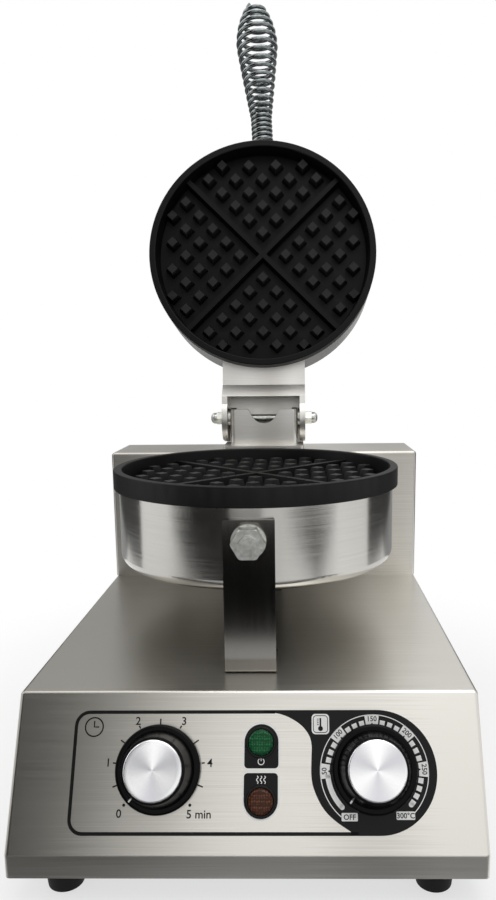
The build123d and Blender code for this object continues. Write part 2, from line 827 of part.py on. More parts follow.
with BuildPart() as strip_bolts:
    for face in (strip_front, strip_back):
        with BuildSketch(face.offset(-strip_bolt_seat)):
            with Locations((0, strip_bolt_up)):
                RegularPolygon(strip_nut_flats / 2, 6, major_radius=False)
        extrude(amount=-strip_bolt_head)
        with BuildSketch(face.offset(-strip_bolt_seat)):
            with Locations((0, strip_bolt_up)):
                Circle(strip_bolt_r)
        extrude(amount=strip_bolt_seat + bolt_reach)
keep(strip_bolts.part, "strip_bolts")
with BuildPart() as strip_washers:
    for face in (strip_front, strip_back):
        with BuildSketch(face.offset(strip_plate)):
            with Locations((0, strip_bolt_up)):
                Circle(strip_washer_r)
                Circle(strip_bolt_r + thread_gap, mode=Mode.SUBTRACT)
        extrude(amount=strip_washer_height)
keep(strip_washers.part, "strip_washers")


def hex_nut(face, places, flats, bore_r, height):
    """Hexagon nuts on a face, with their outer corners turned down."""
    corner_r = flats / 2 / cos(pi / 6)
    cone_r = corner_r + height * (tan(radians(nut_cone)) - nut_corner_loss)
    with BuildPart() as nuts:
        with BuildSketch(face):
            with Locations(*places):
                RegularPolygon(flats / 2, 6, major_radius=False)
        extrude(amount=height)
        with BuildSketch(face):
            with Locations(*places):
                Circle(cone_r)
        extrude(amount=height, taper=nut_cone, mode=Mode.INTERSECT)
        with BuildSketch(face):
            with Locations(*places):
                Circle(bore_r)
        extrude(amount=height, mode=Mode.SUBTRACT)
    return nuts.part


with BuildPart() as strip_nuts:
    for face in (strip_front, strip_back):
        nut_seat_face = face.offset(strip_plate + strip_washer_height)
        nut_bore_r = strip_bolt_r + thread_gap
        add(hex_nut(nut_seat_face, [(0, strip_bolt_up)], strip_nut_flats, nut_bore_r, strip_nut_height))
keep(strip_nuts.part, "strip_nuts")
strip_screw_places = [
    (x, pot_y + y) for y in (-strip_mid, strip_mid) for x in (-strip_screw_gap / 2, strip_screw_gap / 2)
]
keep(
    pan_screw(Plane.XY.offset(casing_top_z + strip_plate), strip_screw_places, strip_screw_r,
              strip_head_r, strip_head_height, strip_screw_length),
    "strip_foot_screws",
)

# Conduit that brings the leads from the rear box to the pot
with BuildPart() as lead_conduit:
    shell_side = sqrt(lower_shell_r**2 - (conduit_x + conduit_r) ** 2)
    with BuildSketch(Plane.XZ.offset(-(pot_y + shell_side - 2 * shell_wall))):
        with Locations((conduit_x, casing_top_z + conduit_up)):
            Circle(conduit_r - thread_gap)
            Circle(conduit_r - conduit_wall, mode=Mode.SUBTRACT)
    extrude(amount=-(box_face_y + 2 * sheet - pot_y - shell_side + 2 * shell_wall))
keep(lead_conduit.part, "lead_conduit")

# Hinge base: a folded channel on the rear box, its ears carry the pin
channel_face = hinge_y - channel_front
base_front_edge = box_face_y + base_front
base_rear_edge = hinge_y + base_rear
channel_half = channel_width / 2
ear_foot = channel_ear_r * sin(lean) + (channel_ear_r * cos(lean) + hinge_z - hinge_base_z) / tan(lean)
with BuildPart() as hinge_base:
    with BuildSketch(Plane.XY.offset(box_top_z)):
        with Locations((0, (base_front_edge + base_rear_edge) / 2)):
            RectangleRounded(base_width, base_rear_edge - base_front_edge, side_round)
        with Locations((0, hinge_y + (base_screw_rear - base_screw_front) / 2)):
            SlotOverall(lead_slot_width, lead_slot_height, mode=Mode.SUBTRACT)
    extrude(amount=base_plate_sheet)
    # Ears: round over the pin, sloped behind where the open lid comes to rest
    hinge_side = Plane(origin=(0, hinge_y, hinge_z), x_dir=(0, 1, 0), z_dir=(1, 0, 0))
    with BuildSketch(hinge_side.offset(-channel_half)):
        with BuildLine():
            Polyline(
                (-channel_front, hinge_base_z - hinge_z),
                (-channel_front, channel_rise),
                (0, channel_rise),
                (channel_ear_r * sin(lean), channel_ear_r * cos(lean)),
                (ear_foot, hinge_base_z - hinge_z),
                close=True,
            )
        make_face()
        Circle(channel_ear_r)
        Circle(pin_r + pin_clearance, mode=Mode.SUBTRACT)
    extrude(amount=channel_width)
    # Space between the ears, open at the back
    with BuildSketch(Plane.XY.offset(hinge_base_z)):
        with Locations((0, channel_face + bracket_plate + channel_width / 2)):
            Rectangle(channel_width - 2 * bracket_plate, channel_width)
    extrude(amount=hinge_z + channel_ear_r - hinge_base_z, mode=Mode.SUBTRACT)
    uprights = [
        e
        for e in hinge_base.edges().filter_by(Axis.Z)
        if abs(e.center().Y - channel_face) < near and e.center().Z > hinge_base_z
    ]
    fillet(uprights, bracket_bend_r)
    # Notch in the front wall, where the leads cross to the lid
    wall_top = hinge_z + channel_rise
    with BuildSketch(Plane.XZ.offset(-channel_face)):
        with BuildLine():
            Polyline(
                (-notch_neck / 2, wall_top - notch_shoulder),
                (-notch_width / 2, wall_top),
                (notch_width / 2, wall_top),
                (notch_neck / 2, wall_top - notch_shoulder),
            )
            ThreePointArc(
                (notch_neck / 2, wall_top - notch_shoulder),
                (0, wall_top - notch_depth),
                (-notch_neck / 2, wall_top - notch_shoulder),
            )
        make_face()
    extrude(amount=-bracket_plate, mode=Mode.SUBTRACT)
    with Locations(*[(x, y, hinge_base_z) for x, y in hinge_screw_places]):
        CounterSinkHole(base_screw_r, base_screw_head_r, base_plate_sheet)
keep(hinge_base.part, "hinge_base")

with BuildPart() as hinge_screws:
    with BuildSketch(Plane.XY.offset(hinge_base_z)):
        with Locations(*hinge_screw_places):
            Circle(base_screw_head_r - thread_gap)
    extrude(amount=-(base_screw_head_r - base_screw_r), taper=45)
    with BuildSketch(Plane.XY.offset(hinge_base_z)):
        with Locations(*hinge_screw_places):
            Circle(base_screw_r - thread_gap)
    extrude(amount=-base_screw_length)
    with BuildSketch(Plane.XY.offset(hinge_base_z)):
        with Locations(*hinge_screw_places):
            RegularPolygon(hex_socket_r, 6)
    extrude(amount=-base_screw_r, mode=Mode.SUBTRACT)
keep(hinge_screws.part, "hinge_screws")

# Lid bracket, drawn on the closed lid about the pin: y is behind the pin, z is above it
tail = (hinge_z - hinge_base_z - stop_gap + bracket_top * cos(lean)) / sin(lean)
ear_low = sqrt(bracket_ear_r**2 - tail**2)
ear_front = sqrt(bracket_ear_r**2 - lip_drop**2)
lip_slope = atan2(lip_drop - bracket_low, lip_far - lip_near)
bracket_half = bracket_width / 2
bracket_inner = bracket_half - bracket_plate
with BuildPart() as lid_bracket:
    ear_side = within(lid_frame, Plane.YZ)
    with BuildSketch(ear_side.offset(-bracket_half)):
        with BuildLine():
            Polyline((-ear_front, -lip_drop), (-lip_near, -lip_drop), (-lip_far, -bracket_low),
                     (-lid_reach, -bracket_low), (-lid_reach, bracket_top), (tail, bracket_top),
                     (tail, -ear_low))
            ThreePointArc((tail, -ear_low), (0, -bracket_ear_r), (-ear_front, -lip_drop))
        make_face()
        Circle(pin_r, mode=Mode.SUBTRACT)
    extrude(amount=bracket_width)
    # Hollow between the ears, under the web and behind the lip
    with BuildSketch(ear_side.offset(-bracket_inner)):
        with BuildLine():
            Polyline(
                (tail + bracket_plate, bracket_top - bracket_plate),
                (-lid_reach, bracket_top - bracket_plate),
                (-lid_reach, bracket_plate - bracket_low),
                (bracket_plate * tan(lip_slope / 2) - lip_far, bracket_plate - bracket_low),
                (-lip_near, bracket_plate / cos(lip_slope) - lip_drop),
                (-lip_near, -2 * bracket_ear_r),
                (tail + bracket_plate, -2 * bracket_ear_r),
                close=True,
            )
        make_face()
    extrude(amount=2 * bracket_inner, mode=Mode.SUBTRACT)
    corners = [
        e
        for e in lid_bracket.edges().filter_by(lambda e: e.geom_type == GeomType.LINE)
        if abs(abs(e.center().X) - bracket_half) < near
        and abs(lid_frame.to_local_coords(e.center()).Z - bracket_top) < near
    ]
    fillet(corners, bracket_bend_r)
    # Coped to the bowl's side, where it is welded on
    with BuildSketch(upper_frame):
        Circle(upper_shell_r)
    extrude(amount=-upper_shell_depth - 2 * rim_height, mode=Mode.SUBTRACT)
keep(lid_bracket.part, "lid_bracket")

# Hinge pin with a domed nut on each end, and washers between the ears
pin_end = bracket_half + cap_nut_length - cap_nut_dome
with BuildPart() as hinge_pin:
    with BuildSketch(hinge_side.offset(-pin_end)):
        Circle(pin_r)
    extrude(amount=2 * pin_end)
    chamfer(hinge_pin.edges(), pin_chamfer)
keep(hinge_pin.part, "hinge_pin")
with BuildPart() as cap_nuts:
    for way in (1, -1):
        ear_face = Plane(origin=(way * bracket_half, hinge_y, hinge_z), x_dir=(0, 1, 0), z_dir=(way, 0, 0))
        with BuildSketch(ear_face):
            RegularPolygon(cap_nut_flats / 2, 6, major_radius=False)
        extrude(amount=cap_nut_hex)
        with BuildSketch(ear_face.offset(cap_nut_hex)):
            Circle(cap_dome_r)
        extrude(amount=cap_nut_length - cap_nut_hex)
        with BuildSketch(ear_face):
            Circle(pin_r + thread_gap)
        extrude(amount=pin_end + pin_clearance - bracket_half, mode=Mode.SUBTRACT)
    domes = cap_nuts.edges().group_by(Axis.X)
    fillet(domes[0] + domes[-1], cap_nut_round)
keep(cap_nuts.part, "cap_nuts")
with BuildPart() as hinge_washers:
    with BuildSketch(hinge_side.offset(bracket_inner)):
        Circle(washer_r)
        Circle(pin_r, mode=Mode.SUBTRACT)
    extrude(amount=2 * washer_slack + channel_half - bracket_inner)
    mirror(about=Plane.YZ)
keep(hinge_washers.part, "hinge_washers")

# Handle stud: collar against the bowl, shank through it, boss inside the coil's neck
neck_r = (handle_neck_d - wire_d) / 2
belly_r = (handle_belly_d - wire_d) / 2
collar_r = handle_neck_d / 2 + stud_clearance
nut_corner = handle_nut_flats / 2 / cos(pi / 6)
bowl_inner = upper_shell_r - shell_wall
nut_seat = bowl_inner - sqrt(bowl_inner**2 - nut_corner**2) + nut_corner * sin(radians(handle_lean))
nut_level = -shell_wall - nut_seat
with BuildPart() as handle_stud:
    with BuildSketch(handle_frame.offset(-collar_length)):
        Circle(collar_r)
    extrude(amount=2 * collar_length)
    with BuildSketch(handle_frame):
        Circle(neck_r - wire_d / 2 - stud_clearance)
    extrude(amount=stud_length)
    stud_end = handle_stud.edges().group_by(Axis(handle_frame.origin, handle_frame.z_dir))[-1]
    chamfer(stud_end, stud_chamfer)
    with BuildSketch(upper_frame):
        Circle(upper_shell_r)
    extrude(amount=-upper_shell_depth - 2 * rim_height, mode=Mode.SUBTRACT)
    with BuildSketch(handle_frame.offset(nut_level - handle_nut_height - strip_bolt_end)):
        Circle(stud_shank_r)
    extrude(amount=handle_nut_height + strip_bolt_end - nut_level + collar_length)
keep(handle_stud.part, "handle_stud")
nut_start = handle_frame.offset(nut_level).origin
nut_face = Plane(nut_start, x_dir=handle_frame.x_dir, z_dir=-handle_frame.z_dir)
keep(
    hex_nut(nut_face, [(0, 0)], handle_nut_flats, stud_shank_r + thread_gap, handle_nut_height),
    "handle_nut",
)


# Coil handle: one wire wound on a teardrop, worked out turn by turn
def coil_radius(along):
    """Radius of the wire's centre line at a distance along the handle."""
    if along <= handle_neck_end:
        return neck_r
    if along <= handle_belly_at:
        rise = (along - handle_neck_end) / (handle_belly_at - handle_neck_end)
        eased = rise * (1 + belly_ease * (1 - rise))
        return neck_r + (belly_r - neck_r) * eased
    fall = (along - handle_belly_at) / (handle_length - handle_belly_at)
    return belly_r * max(0.0, 1 - fall**2) ** tip_fullness


def coil_pitch(along):
    """Distance between turns, close on the neck and open on the body."""
    mix = min(1.0, max(0.0, (along - handle_neck_end) / (pitch_blend * neck_pitch)))
    return neck_pitch + (body_pitch - neck_pitch) * mix


def coil_points(start):
    """Places along the handle at each half turn, spaced along the teardrop's outline."""
    steps = 40
    along = start
    places = [along]
    while coil_radius(along) > tip_coil_r:
        for _ in range(steps):
            probe = 0.01
            slope = (coil_radius(along + probe) - coil_radius(along)) / probe
            along += coil_pitch(along) / 2 / steps / sqrt(1 + slope**2)
        places.append(along)
    return places[:-1]


def biarc(start, start_way, end, end_way):
    """Two tangent arcs between two points with given directions."""
    chord = end - start
    both = start_way + end_way
    dot = start_way.dot(end_way)
    room = chord.dot(both)
    reach_out = (-room + sqrt(room**2 + 2 * (1 - dot) * chord.dot(chord))) / (2 * (1 - dot))
    middle_start = start + start_way * reach_out
    middle_end = end - end_way * reach_out
    middle = (middle_start + middle_end) * 0.5
    TangentArc(start, middle, tangent=start_way)
    TangentArc(middle, end, tangent=(middle_end - middle_start).normalized())


def on_coil(turns, along):
    """A point on the wire's centre line, in the handle's own frame."""
    radius = coil_radius(along)
    return Vector(radius * cos(2 * pi * turns), radius * sin(2 * pi * turns), along)


first_along = collar_length + wire_d + coil_entry
places = coil_points(first_along)
with BuildPart() as handle_coil:
    with BuildLine() as wire_path:
        foot_point = Vector(neck_r, 0, collar_length)
        rise_point = Vector(neck_r, 0, collar_length + wire_d)
        Line(foot_point, rise_point)
        point = on_coil(entry_turn, places[0])
        way = Vector(-sin(2 * pi * entry_turn) * 2 * pi * neck_r,
                     cos(2 * pi * entry_turn) * 2 * pi * neck_r, neck_pitch).normalized()
        biarc(rise_point, Vector(0, 0, 1), point, way)
        for number in range(1, len(places)):
            turns = entry_turn + number / 2
            next_point = on_coil(turns, places[number])
            ahead = min(number + 1, len(places) - 1)
            span = places[ahead] - places[number - 1]
            swell = coil_radius(places[ahead]) - coil_radius(places[number - 1])
            half_turns = ahead - number + 1
            radius = coil_radius(places[number])
            next_way = Vector(
                -sin(2 * pi * turns) * pi * radius * half_turns + cos(2 * pi * turns) * swell,
                cos(2 * pi * turns) * pi * radius * half_turns + sin(2 * pi * turns) * swell,
                span,
            ).normalized()
            biarc(point, way, next_point, next_way)
            point = next_point
            way = next_way
    with BuildSketch(Plane(origin=foot_point, z_dir=(0, 0, 1))):
        Circle(wire_d / 2)
    sweep(path=wire_path.wire())
coil = handle_frame.location * handle_coil.part

# The wire's least gap to itself, measured on points along its centre line
wire_line = wire_path.wire()
sample_count = int(2 * wire_line.length / wire_d)
samples = [wire_line.position_at(n / sample_count) for n in range(sample_count + 1)]
apart = 10
least_gap = min(
    (samples[i] - samples[j]).length for i in range(len(samples)) for j in range(i + apart, len(samples))
) - wire_d
print(f"handle coil: {(len(places) - 1) / 2 + 1:.1f} turns, wire {wire_line.length:.0f} mm,",
      f"least gap to itself {least_gap:.2f} mm")
keep(coil, "handle_coil")


# Panel controls: the unit and its bush behind and through the panel, a nut in front
def control_body(centre, half_size, square, depth):
    """A timer or thermostat unit with its threaded bush and a bore for the shaft."""
    with BuildPart() as body:
        with BuildSketch(panel.offset(-sheet)):
            with Locations(centre):
                if square:
                    Rectangle(2 * half_size, 2 * half_size)
                else:
                    Circle(half_size)
        extrude(amount=-depth)
        rear_edges = body.edges().group_by(Axis(panel.origin, panel.z_dir))[0]
        chamfer(rear_edges, sheet)
        with BuildSketch(panel.offset(-sheet)):
            with Locations(centre):
                Circle(bush_r)
        extrude(amount=sheet + bush_stand)
        with BuildSketch(panel.offset(bush_stand)):
            with Locations(centre):
                Circle(shaft_r + shaft_clearance)
        extrude(amount=-(bush_stand + sheet + shaft_tail + fit_gap), mode=Mode.SUBTRACT)
    return body.part


def control_shaft(centre):
    """The shaft, from inside the unit to the knob's cap, with a flat where the knob grips."""
    with BuildPart() as shaft:
        with BuildSketch(panel.offset(-sheet - shaft_tail)):
            with Locations(centre):
                Circle(shaft_r)
        extrude(amount=sheet + shaft_tail + knob_lift + knob_height - cap_seat - cap_thickness)
    return shaft.part


def knob_body(centre):
    """A knob: wide skirt, tapered grip with fine ribs, hollow below, dished seat on top."""
    face = panel.offset(knob_lift)
    top = knob_height - cap_thickness
    with BuildPart() as knob:
        with BuildSketch(face):
            with Locations(centre):
                Circle(skirt_r)
        extrude(amount=skirt_height)
        skirt_edge = knob.edges().group_by(Axis(face.origin, face.z_dir))[-1]
        fillet(skirt_edge, skirt_height / 2)
        with BuildSketch(face.offset(skirt_height)):
            with Locations(centre):
                Circle(grip_base_r)
        extrude(amount=top - skirt_height, taper=degrees(atan2(grip_base_r - grip_top_r, top - skirt_height)))
        crown = knob.edges().group_by(Axis(face.origin, face.z_dir))[-1]
        fillet(crown, crown_round)
        with BuildSketch(face):
            with Locations(centre):
                Circle(knob_cavity_r)
        extrude(amount=knob_cavity_depth, mode=Mode.SUBTRACT)
        with BuildSketch(face):
            with Locations(centre):
                Circle(shaft_r)
        extrude(amount=top - cap_seat, mode=Mode.SUBTRACT)
        with BuildSketch(face.offset(top)):
            with Locations(centre):
                Circle(cap_r + thread_gap)
        extrude(amount=-cap_seat, mode=Mode.SUBTRACT)
    return knob.part


def knob_cap(centre):
    """A spun disc set in the top of the knob."""
    level = knob_lift + knob_height - cap_thickness - cap_seat
    with BuildPart() as cap:
        with BuildSketch(panel.offset(level)):
            with Locations(centre):
                Circle(cap_r)
        extrude(amount=cap_thickness + cap_seat)
        cap_edge = cap.edges().group_by(Axis(panel.origin, panel.z_dir))[-1]
        fillet(cap_edge, cap_thickness / 2)
    return cap.part


timer_place = (timer_x, -knob_down)
thermostat_place = (thermostat_x, -knob_down)
keep(control_body(timer_place, timer_body_size / 2, True, timer_body_depth), "timer_body")
keep(control_body(thermostat_place, thermostat_body_r, False, thermostat_body_depth), "thermostat_body")
for name, place in (("timer", timer_place), ("thermostat", thermostat_place)):
    keep(hex_nut(panel, [place], panel_nut_flats, bush_r + thread_gap, panel_nut_height), f"{name}_nut")
    keep(control_shaft(place), f"{name}_shaft")
    keep(knob_body(place), f"{name}_knob")
    keep(knob_cap(place), f"{name}_knob_cap")

# Lamps: lens in a bezel on the panel, body through the panel behind it
for name, down in (("power", power_lamp_down), ("heat", heat_lamp_down)):
    lamp_place = (lamp_x, -down)
    with BuildPart() as bezel:
        with BuildSketch(panel):
            with Locations(lamp_place):
                Circle(bezel_r)
                Circle(lens_r + thread_gap, mode=Mode.SUBTRACT)
        extrude(amount=bezel_rise)
        bezel_edges = bezel.edges().group_by(Axis(panel.origin, panel.z_dir))[-1]
        fillet(bezel_edges, bezel_round)
    keep(bezel.part, f"{name}_lamp_bezel")
    with BuildPart() as lens:
        with BuildSketch(panel):
            with Locations(lamp_place):
                Circle(lens_r)
        extrude(amount=lens_rise)
        lens_edge = lens.edges().group_by(Axis(panel.origin, panel.z_dir))[-1]
        fillet(lens_edge, lens_round)
    keep(lens.part, f"{name}_lamp_lens")
    with BuildPart() as lamp_body:
        with BuildSketch(panel):
            with Locations(lamp_place):
                Circle(lamp_body_r)
        extrude(amount=-lamp_body_depth)
        with BuildSketch(panel.offset(-sheet)):
            with Locations(lamp_place):
                Circle(lamp_body_r + sheet)
        extrude(amount=-2 * sheet)
    keep(lamp_body.part, f"{name}_lamp_body")
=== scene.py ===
"""A round counter waffle maker in a plain studio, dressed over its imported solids.

The solids give every place. This file adds the finishes, the printing on the sloped panel,
the spun caps and pointers of the two dials, the light and the camera. Sizes that a maker
would quote are in millimetres and are turned to metres by MM.
"""

import json
import logging
from collections.abc import Iterable, Sequence
from dataclasses import dataclass
from enum import Enum
from math import cos, pi, radians, sin
from typing import Any

import bmesh
import bpy
from mathutils import Matrix, Vector


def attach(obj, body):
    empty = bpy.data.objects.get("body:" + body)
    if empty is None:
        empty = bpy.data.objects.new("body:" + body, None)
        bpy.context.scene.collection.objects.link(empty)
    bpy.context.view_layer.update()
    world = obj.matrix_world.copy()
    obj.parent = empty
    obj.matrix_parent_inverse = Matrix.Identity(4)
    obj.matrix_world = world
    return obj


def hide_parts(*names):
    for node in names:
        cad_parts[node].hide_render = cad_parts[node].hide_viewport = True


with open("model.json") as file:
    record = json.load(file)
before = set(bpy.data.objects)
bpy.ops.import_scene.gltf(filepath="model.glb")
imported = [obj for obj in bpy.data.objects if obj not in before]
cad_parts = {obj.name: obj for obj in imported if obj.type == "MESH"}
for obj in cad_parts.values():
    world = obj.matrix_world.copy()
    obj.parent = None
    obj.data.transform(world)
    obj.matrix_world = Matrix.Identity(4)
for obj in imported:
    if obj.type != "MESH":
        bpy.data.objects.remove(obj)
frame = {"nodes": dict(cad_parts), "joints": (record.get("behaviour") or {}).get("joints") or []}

MM = 0.001
LOG = logging.getLogger("waffle_maker")
Point = tuple[float, float]
Triple = tuple[float, float, float]
Tree = bpy.types.NodeTree
Socket = bpy.types.NodeSocket
Node = bpy.types.Node
Piece = bpy.types.Object

# The dials' middles on the panel, in its own millimetres.
TIMER_AT: Point = (-47.0, -39.6)
HEAT_AT: Point = (67.0, -39.6)

# A dot's or ring's last corner in degrees, which stops short of its first.
RING_END = 345
# A figure's height against the size that its typeface is set in.
FIGURE_SHARE = 0.69
# The spacing of a wave node's rings at a scale of 1.
WAVE_SPACING = 0.314
# A Mix node's sockets by number, since the names repeat for each kind of value.
MIX_FACTOR = 0
VECTOR_A, VECTOR_B, VECTOR_OUT = 4, 5, 1
COLOUR_A, COLOUR_B, COLOUR_OUT = 6, 7, 2


def linear(hex_colour: str) -> tuple[float, float, float, float]:
    """Turn an sRGB hex colour to linear light.

    Args:
        hex_colour: Six hex digits after a hash.

    Returns:
        Red, green, blue and an alpha of 1.
    """
    levels = [int(hex_colour[place : place + 2], 16) / 255 for place in (1, 3, 5)]
    lights = [c / 12.92 if c <= 0.04045 else ((c + 0.055) / 1.055) ** 2.4 for c in levels]
    return (lights[0], lights[1], lights[2], 1.0)


def add_node(tree: Tree, kind: str, inputs: dict | None = None, **settings: Any) -> Node:
    """Add a shader node, set it and link it.

    Args:
        tree: The node tree of a material or of the world.
        kind: Blender's name for the node type, without its ShaderNode.
        inputs: Socket name or number to a value, or to the output socket that feeds it.
        **settings: Properties of the node itself.

    Returns:
        The new node.
    """
    node = tree.nodes.new("ShaderNode" + kind)
    for name, value in settings.items():
        setattr(node, name, value)
    for socket, value in (inputs or {}).items():
        if isinstance(value, Socket):
            tree.links.new(value, node.inputs[socket])
        else:
            node.inputs[socket].default_value = value
    return node


class Grain(Enum):
    """Which way the fine lines of a worked metal run.

    Each value is the axis of the node that gives a direction round it, the turn (in whole turns)
    from there to the way the gloss spreads, and the axes along which a scratch is long.
    """

    ACROSS = ("X", 0.0, (True, False, False))
    AROUND_UPRIGHT = ("Z", 0.25, (True, True, False))
    AROUND_LEVEL = ("Y", 0.25, (True, False, True))
    ALONG_PLATE = ("Z", 0.0, (False, False, True))


@dataclass(frozen=True)
class Finish:
    """A surface as its maker would name it: colour, gloss and what its making left on it.

    A pattern of a real size runs over every finish. It swings the gloss, raises the surface a
    little and, where the finish has a dark shade too, spreads the two shades.
    """

    name: str
    colour: str
    roughness: float
    metallic: float = 0.0
    specular: float = 0.5
    coat: float = 0.0
    coat_roughness: float = 0.05
    dark: str = ""
    pattern_mm: Triple = (1.0, 1.0, 1.0)
    detail: float = 2.0
    spread: Point = (0.3, 0.7)
    gloss_swing: float = 0.05
    relief_mm: float = 0.01

    def material(self) -> bpy.types.Material:
        """Make this finish's material, once.

        Returns:
            The material.
        """
        known = bpy.data.materials.get(self.name)
        if known:
            return known
        made = bpy.data.materials.new(self.name)
        made.use_nodes = True
        tree = made.node_tree
        shader = tree.nodes["Principled BSDF"]
        for socket, value in (
            ("Base Color", linear(self.colour)),
            ("Metallic", self.metallic),
            ("Specular IOR Level", self.specular),
            ("Coat Weight", self.coat),
            ("Coat Roughness", self.coat_roughness),
        ):
            shader.inputs[socket].default_value = value
        place = add_node(tree, "TexCoord").outputs["Object"]
        pattern, tone = self.pattern(tree, place)
        low, high = self.roughness - self.gloss_swing, self.roughness + self.gloss_swing
        gloss = add_node(tree, "MapRange", {"Value": pattern, "To Min": low, "To Max": high})
        relief = {"Height": pattern, "Distance": self.relief_mm * MM, "Strength": 0.5}
        feeds = [("Roughness", gloss), ("Normal", add_node(tree, "Bump", relief))]
        if self.dark:
            ramp = add_node(tree, "ValToRGB", {"Fac": tone})
            for element, position, shade in zip(
                ramp.color_ramp.elements, self.spread, (self.dark, self.colour)
            ):
                element.position = position
                element.color = linear(shade)
            feeds.append(("Base Color", ramp))
        for socket, feed in feeds:
            tree.links.new(feed.outputs[0], shader.inputs[socket])
        self.work(tree, shader)
        return made

    def pattern(self, tree: Tree, place: Socket) -> tuple[Socket, Socket]:
        """Lay soft blots over the surface.

        Args:
            tree: The material's nodes.
            place: The place on the piece, in metres.

        Returns:
            What swings the gloss and raises the surface, and what the two shades spread over.
        """
        scale = [1 / (size * MM) for size in self.pattern_mm]
        sized = add_node(tree, "Mapping", {"Vector": place, "Scale": scale}).outputs[0]
        blots = {"Vector": sized, "Scale": 1.0, "Detail": self.detail}
        level = add_node(tree, "TexNoise", blots).outputs[0]
        return level, level

    def work(self, tree: Tree, shader: Node) -> None:
        """Add what else the making left on the surface: nothing on the plainest finish."""


@dataclass(frozen=True)
class WorkedMetal(Finish):
    """Bare metal that was brushed or turned: its lines draw every lamp out across them."""

    metallic: float = 1.0
    grain: Grain = Grain.ACROSS
    stretch: float = 0.6
    # How squarely a face has to look left or right to count as an end of a folded sheet.
    end_facing: float = 0.8

    def end_faces(self, tree: Tree) -> Socket:
        """Find the faces that look left or right.

        Args:
            tree: The material's nodes.

        Returns:
            1 on those faces, else 0.
        """
        facing = add_node(tree, "TexCoord").outputs["Normal"]
        parts = add_node(tree, "SeparateXYZ", {0: facing})
        turned = add_node(tree, "Math", {0: parts.outputs[0]}, operation="ABSOLUTE")
        limit = {0: turned.outputs[0], 1: self.end_facing}
        return add_node(tree, "Math", limit, operation="GREATER_THAN").outputs[0]

    def work(self, tree: Tree, shader: Node) -> None:
        """Spread the gloss across the lines.

        Args:
            tree: The material's nodes.
            shader: Its surface shader.
        """
        axis, turn, _ = self.grain.value
        shader.inputs["Anisotropic"].default_value = self.stretch
        shader.inputs["Anisotropic Rotation"].default_value = turn
        around = add_node(tree, "Tangent", direction_type="RADIAL", axis=axis).outputs[0]
        if self.grain is Grain.ACROSS:
            both = {MIX_FACTOR: self.end_faces(tree), VECTOR_A: around, VECTOR_B: (0.0, 0.0, 1.0)}
            mixed = add_node(tree, "Mix", both, data_type="VECTOR")
            around = mixed.outputs[VECTOR_OUT]
        tree.links.new(around, shader.inputs["Tangent"])


@dataclass(frozen=True)
class WorkedStainless(WorkedMetal):
    """Belt-brushed or spun stainless: fine scratches under slow clouds of painted reflection."""

    # The real scratches are under 0.1 mm apart; they are drawn this coarse so that they show.
    scratch_mm: float = 0.45
    run_mm: float = 60.0
    scratch_share: float = 0.3
    # A painted reflection cloud's size from side to side, and its rates of change along X, Y and Z.
    reflection_cloud_mm: float = 90.0
    reflection_cloud_rates: Triple = (1.0, 0.25, 0.33)
    spread: Point = (0.45, 0.85)
    gloss_swing: float = 0.07

    def pattern(self, tree: Tree, place: Socket) -> tuple[Socket, Socket]:
        """Lay scratches along the grain; on a folded sheet's ends they run from front to back.

        Args:
            tree: The material's nodes.
            place: The place on the piece, in metres.

        Returns:
            The scratches, and the scratches with the painted reflection clouds.
        """
        ways = [[self.run_mm if runs else self.scratch_mm for runs in self.grain.value[2]]]
        if self.grain is Grain.ACROSS:
            ways.append([self.scratch_mm, self.run_mm, self.scratch_mm])
        laid = []
        for way in ways:
            scale = [1 / (size * MM) for size in way]
            laid.append(add_node(tree, "Mapping", {"Vector": place, "Scale": scale}))
        along = laid[0].outputs[0]
        if self.grain is Grain.ACROSS:
            both = {MIX_FACTOR: self.end_faces(tree), VECTOR_A: along, VECTOR_B: laid[1].outputs[0]}
            mixed = add_node(tree, "Mix", both, data_type="VECTOR")
            along = mixed.outputs[VECTOR_OUT]
        rates = [rate / (self.reflection_cloud_mm * MM) for rate in self.reflection_cloud_rates]
        slow = add_node(tree, "Mapping", {"Vector": place, "Scale": rates}).outputs[0]
        lines, painted_reflections = (
            add_node(tree, "TexNoise", {"Vector": v, "Scale": 1.0, "Detail": detail}).outputs[0]
            for v, detail in ((along, self.detail), (slow, 0.0))
        )
        terms = {0: lines, 1: self.scratch_share, 2: painted_reflections}
        return lines, add_node(tree, "Math", terms, operation="MULTIPLY_ADD").outputs[0]


@dataclass(frozen=True)
class Plating(Finish):
    """A bare or plated metal skin: a shine that handling and heat have dulled in patches."""

    metallic: float = 1.0
    pattern_mm: Triple = (3.0, 3.0, 3.0)
    detail: float = 3.0


@dataclass(frozen=True)
class NonStickCasting(Finish):
    """Cast aluminium under a sprayed black non-stick coat: dead matt, faintly pebbled."""

    specular: float = 0.15
    dark: str = "#060606"
    pattern_mm: Triple = (0.6, 0.6, 0.6)
    detail: float = 3.0
    relief_mm: float = 0.04
    gloss_swing: float = 0.08
    # The grey that is painted on the sharp tops as their highlight.
    top_highlight: str = "#262726"
    # How sharp an edge is where the painted highlight on the tops starts and where it is full; a
    # flat face is 0.5.
    top_highlight_edges: Point = (0.5, 0.6)

    def work(self, tree: Tree, shader: Node) -> None:
        """Paint a grey highlight on the sharp tops of studs and ribs, where the light falls on
        them.

        Args:
            tree: The material's nodes.
            shader: Its surface shader.
        """
        edges = add_node(tree, "NewGeometry").outputs["Pointiness"]
        start, full = self.top_highlight_edges
        highlighted = add_node(tree, "MapRange", {"Value": edges, "From Min": start, "From Max": full})
        coat = shader.inputs["Base Color"].links[0].from_socket
        both = {MIX_FACTOR: highlighted.outputs[0], COLOUR_A: coat, COLOUR_B: linear(self.top_highlight)}
        mixed = add_node(tree, "Mix", both, data_type="RGBA")
        tree.links.new(mixed.outputs[COLOUR_OUT], shader.inputs["Base Color"])


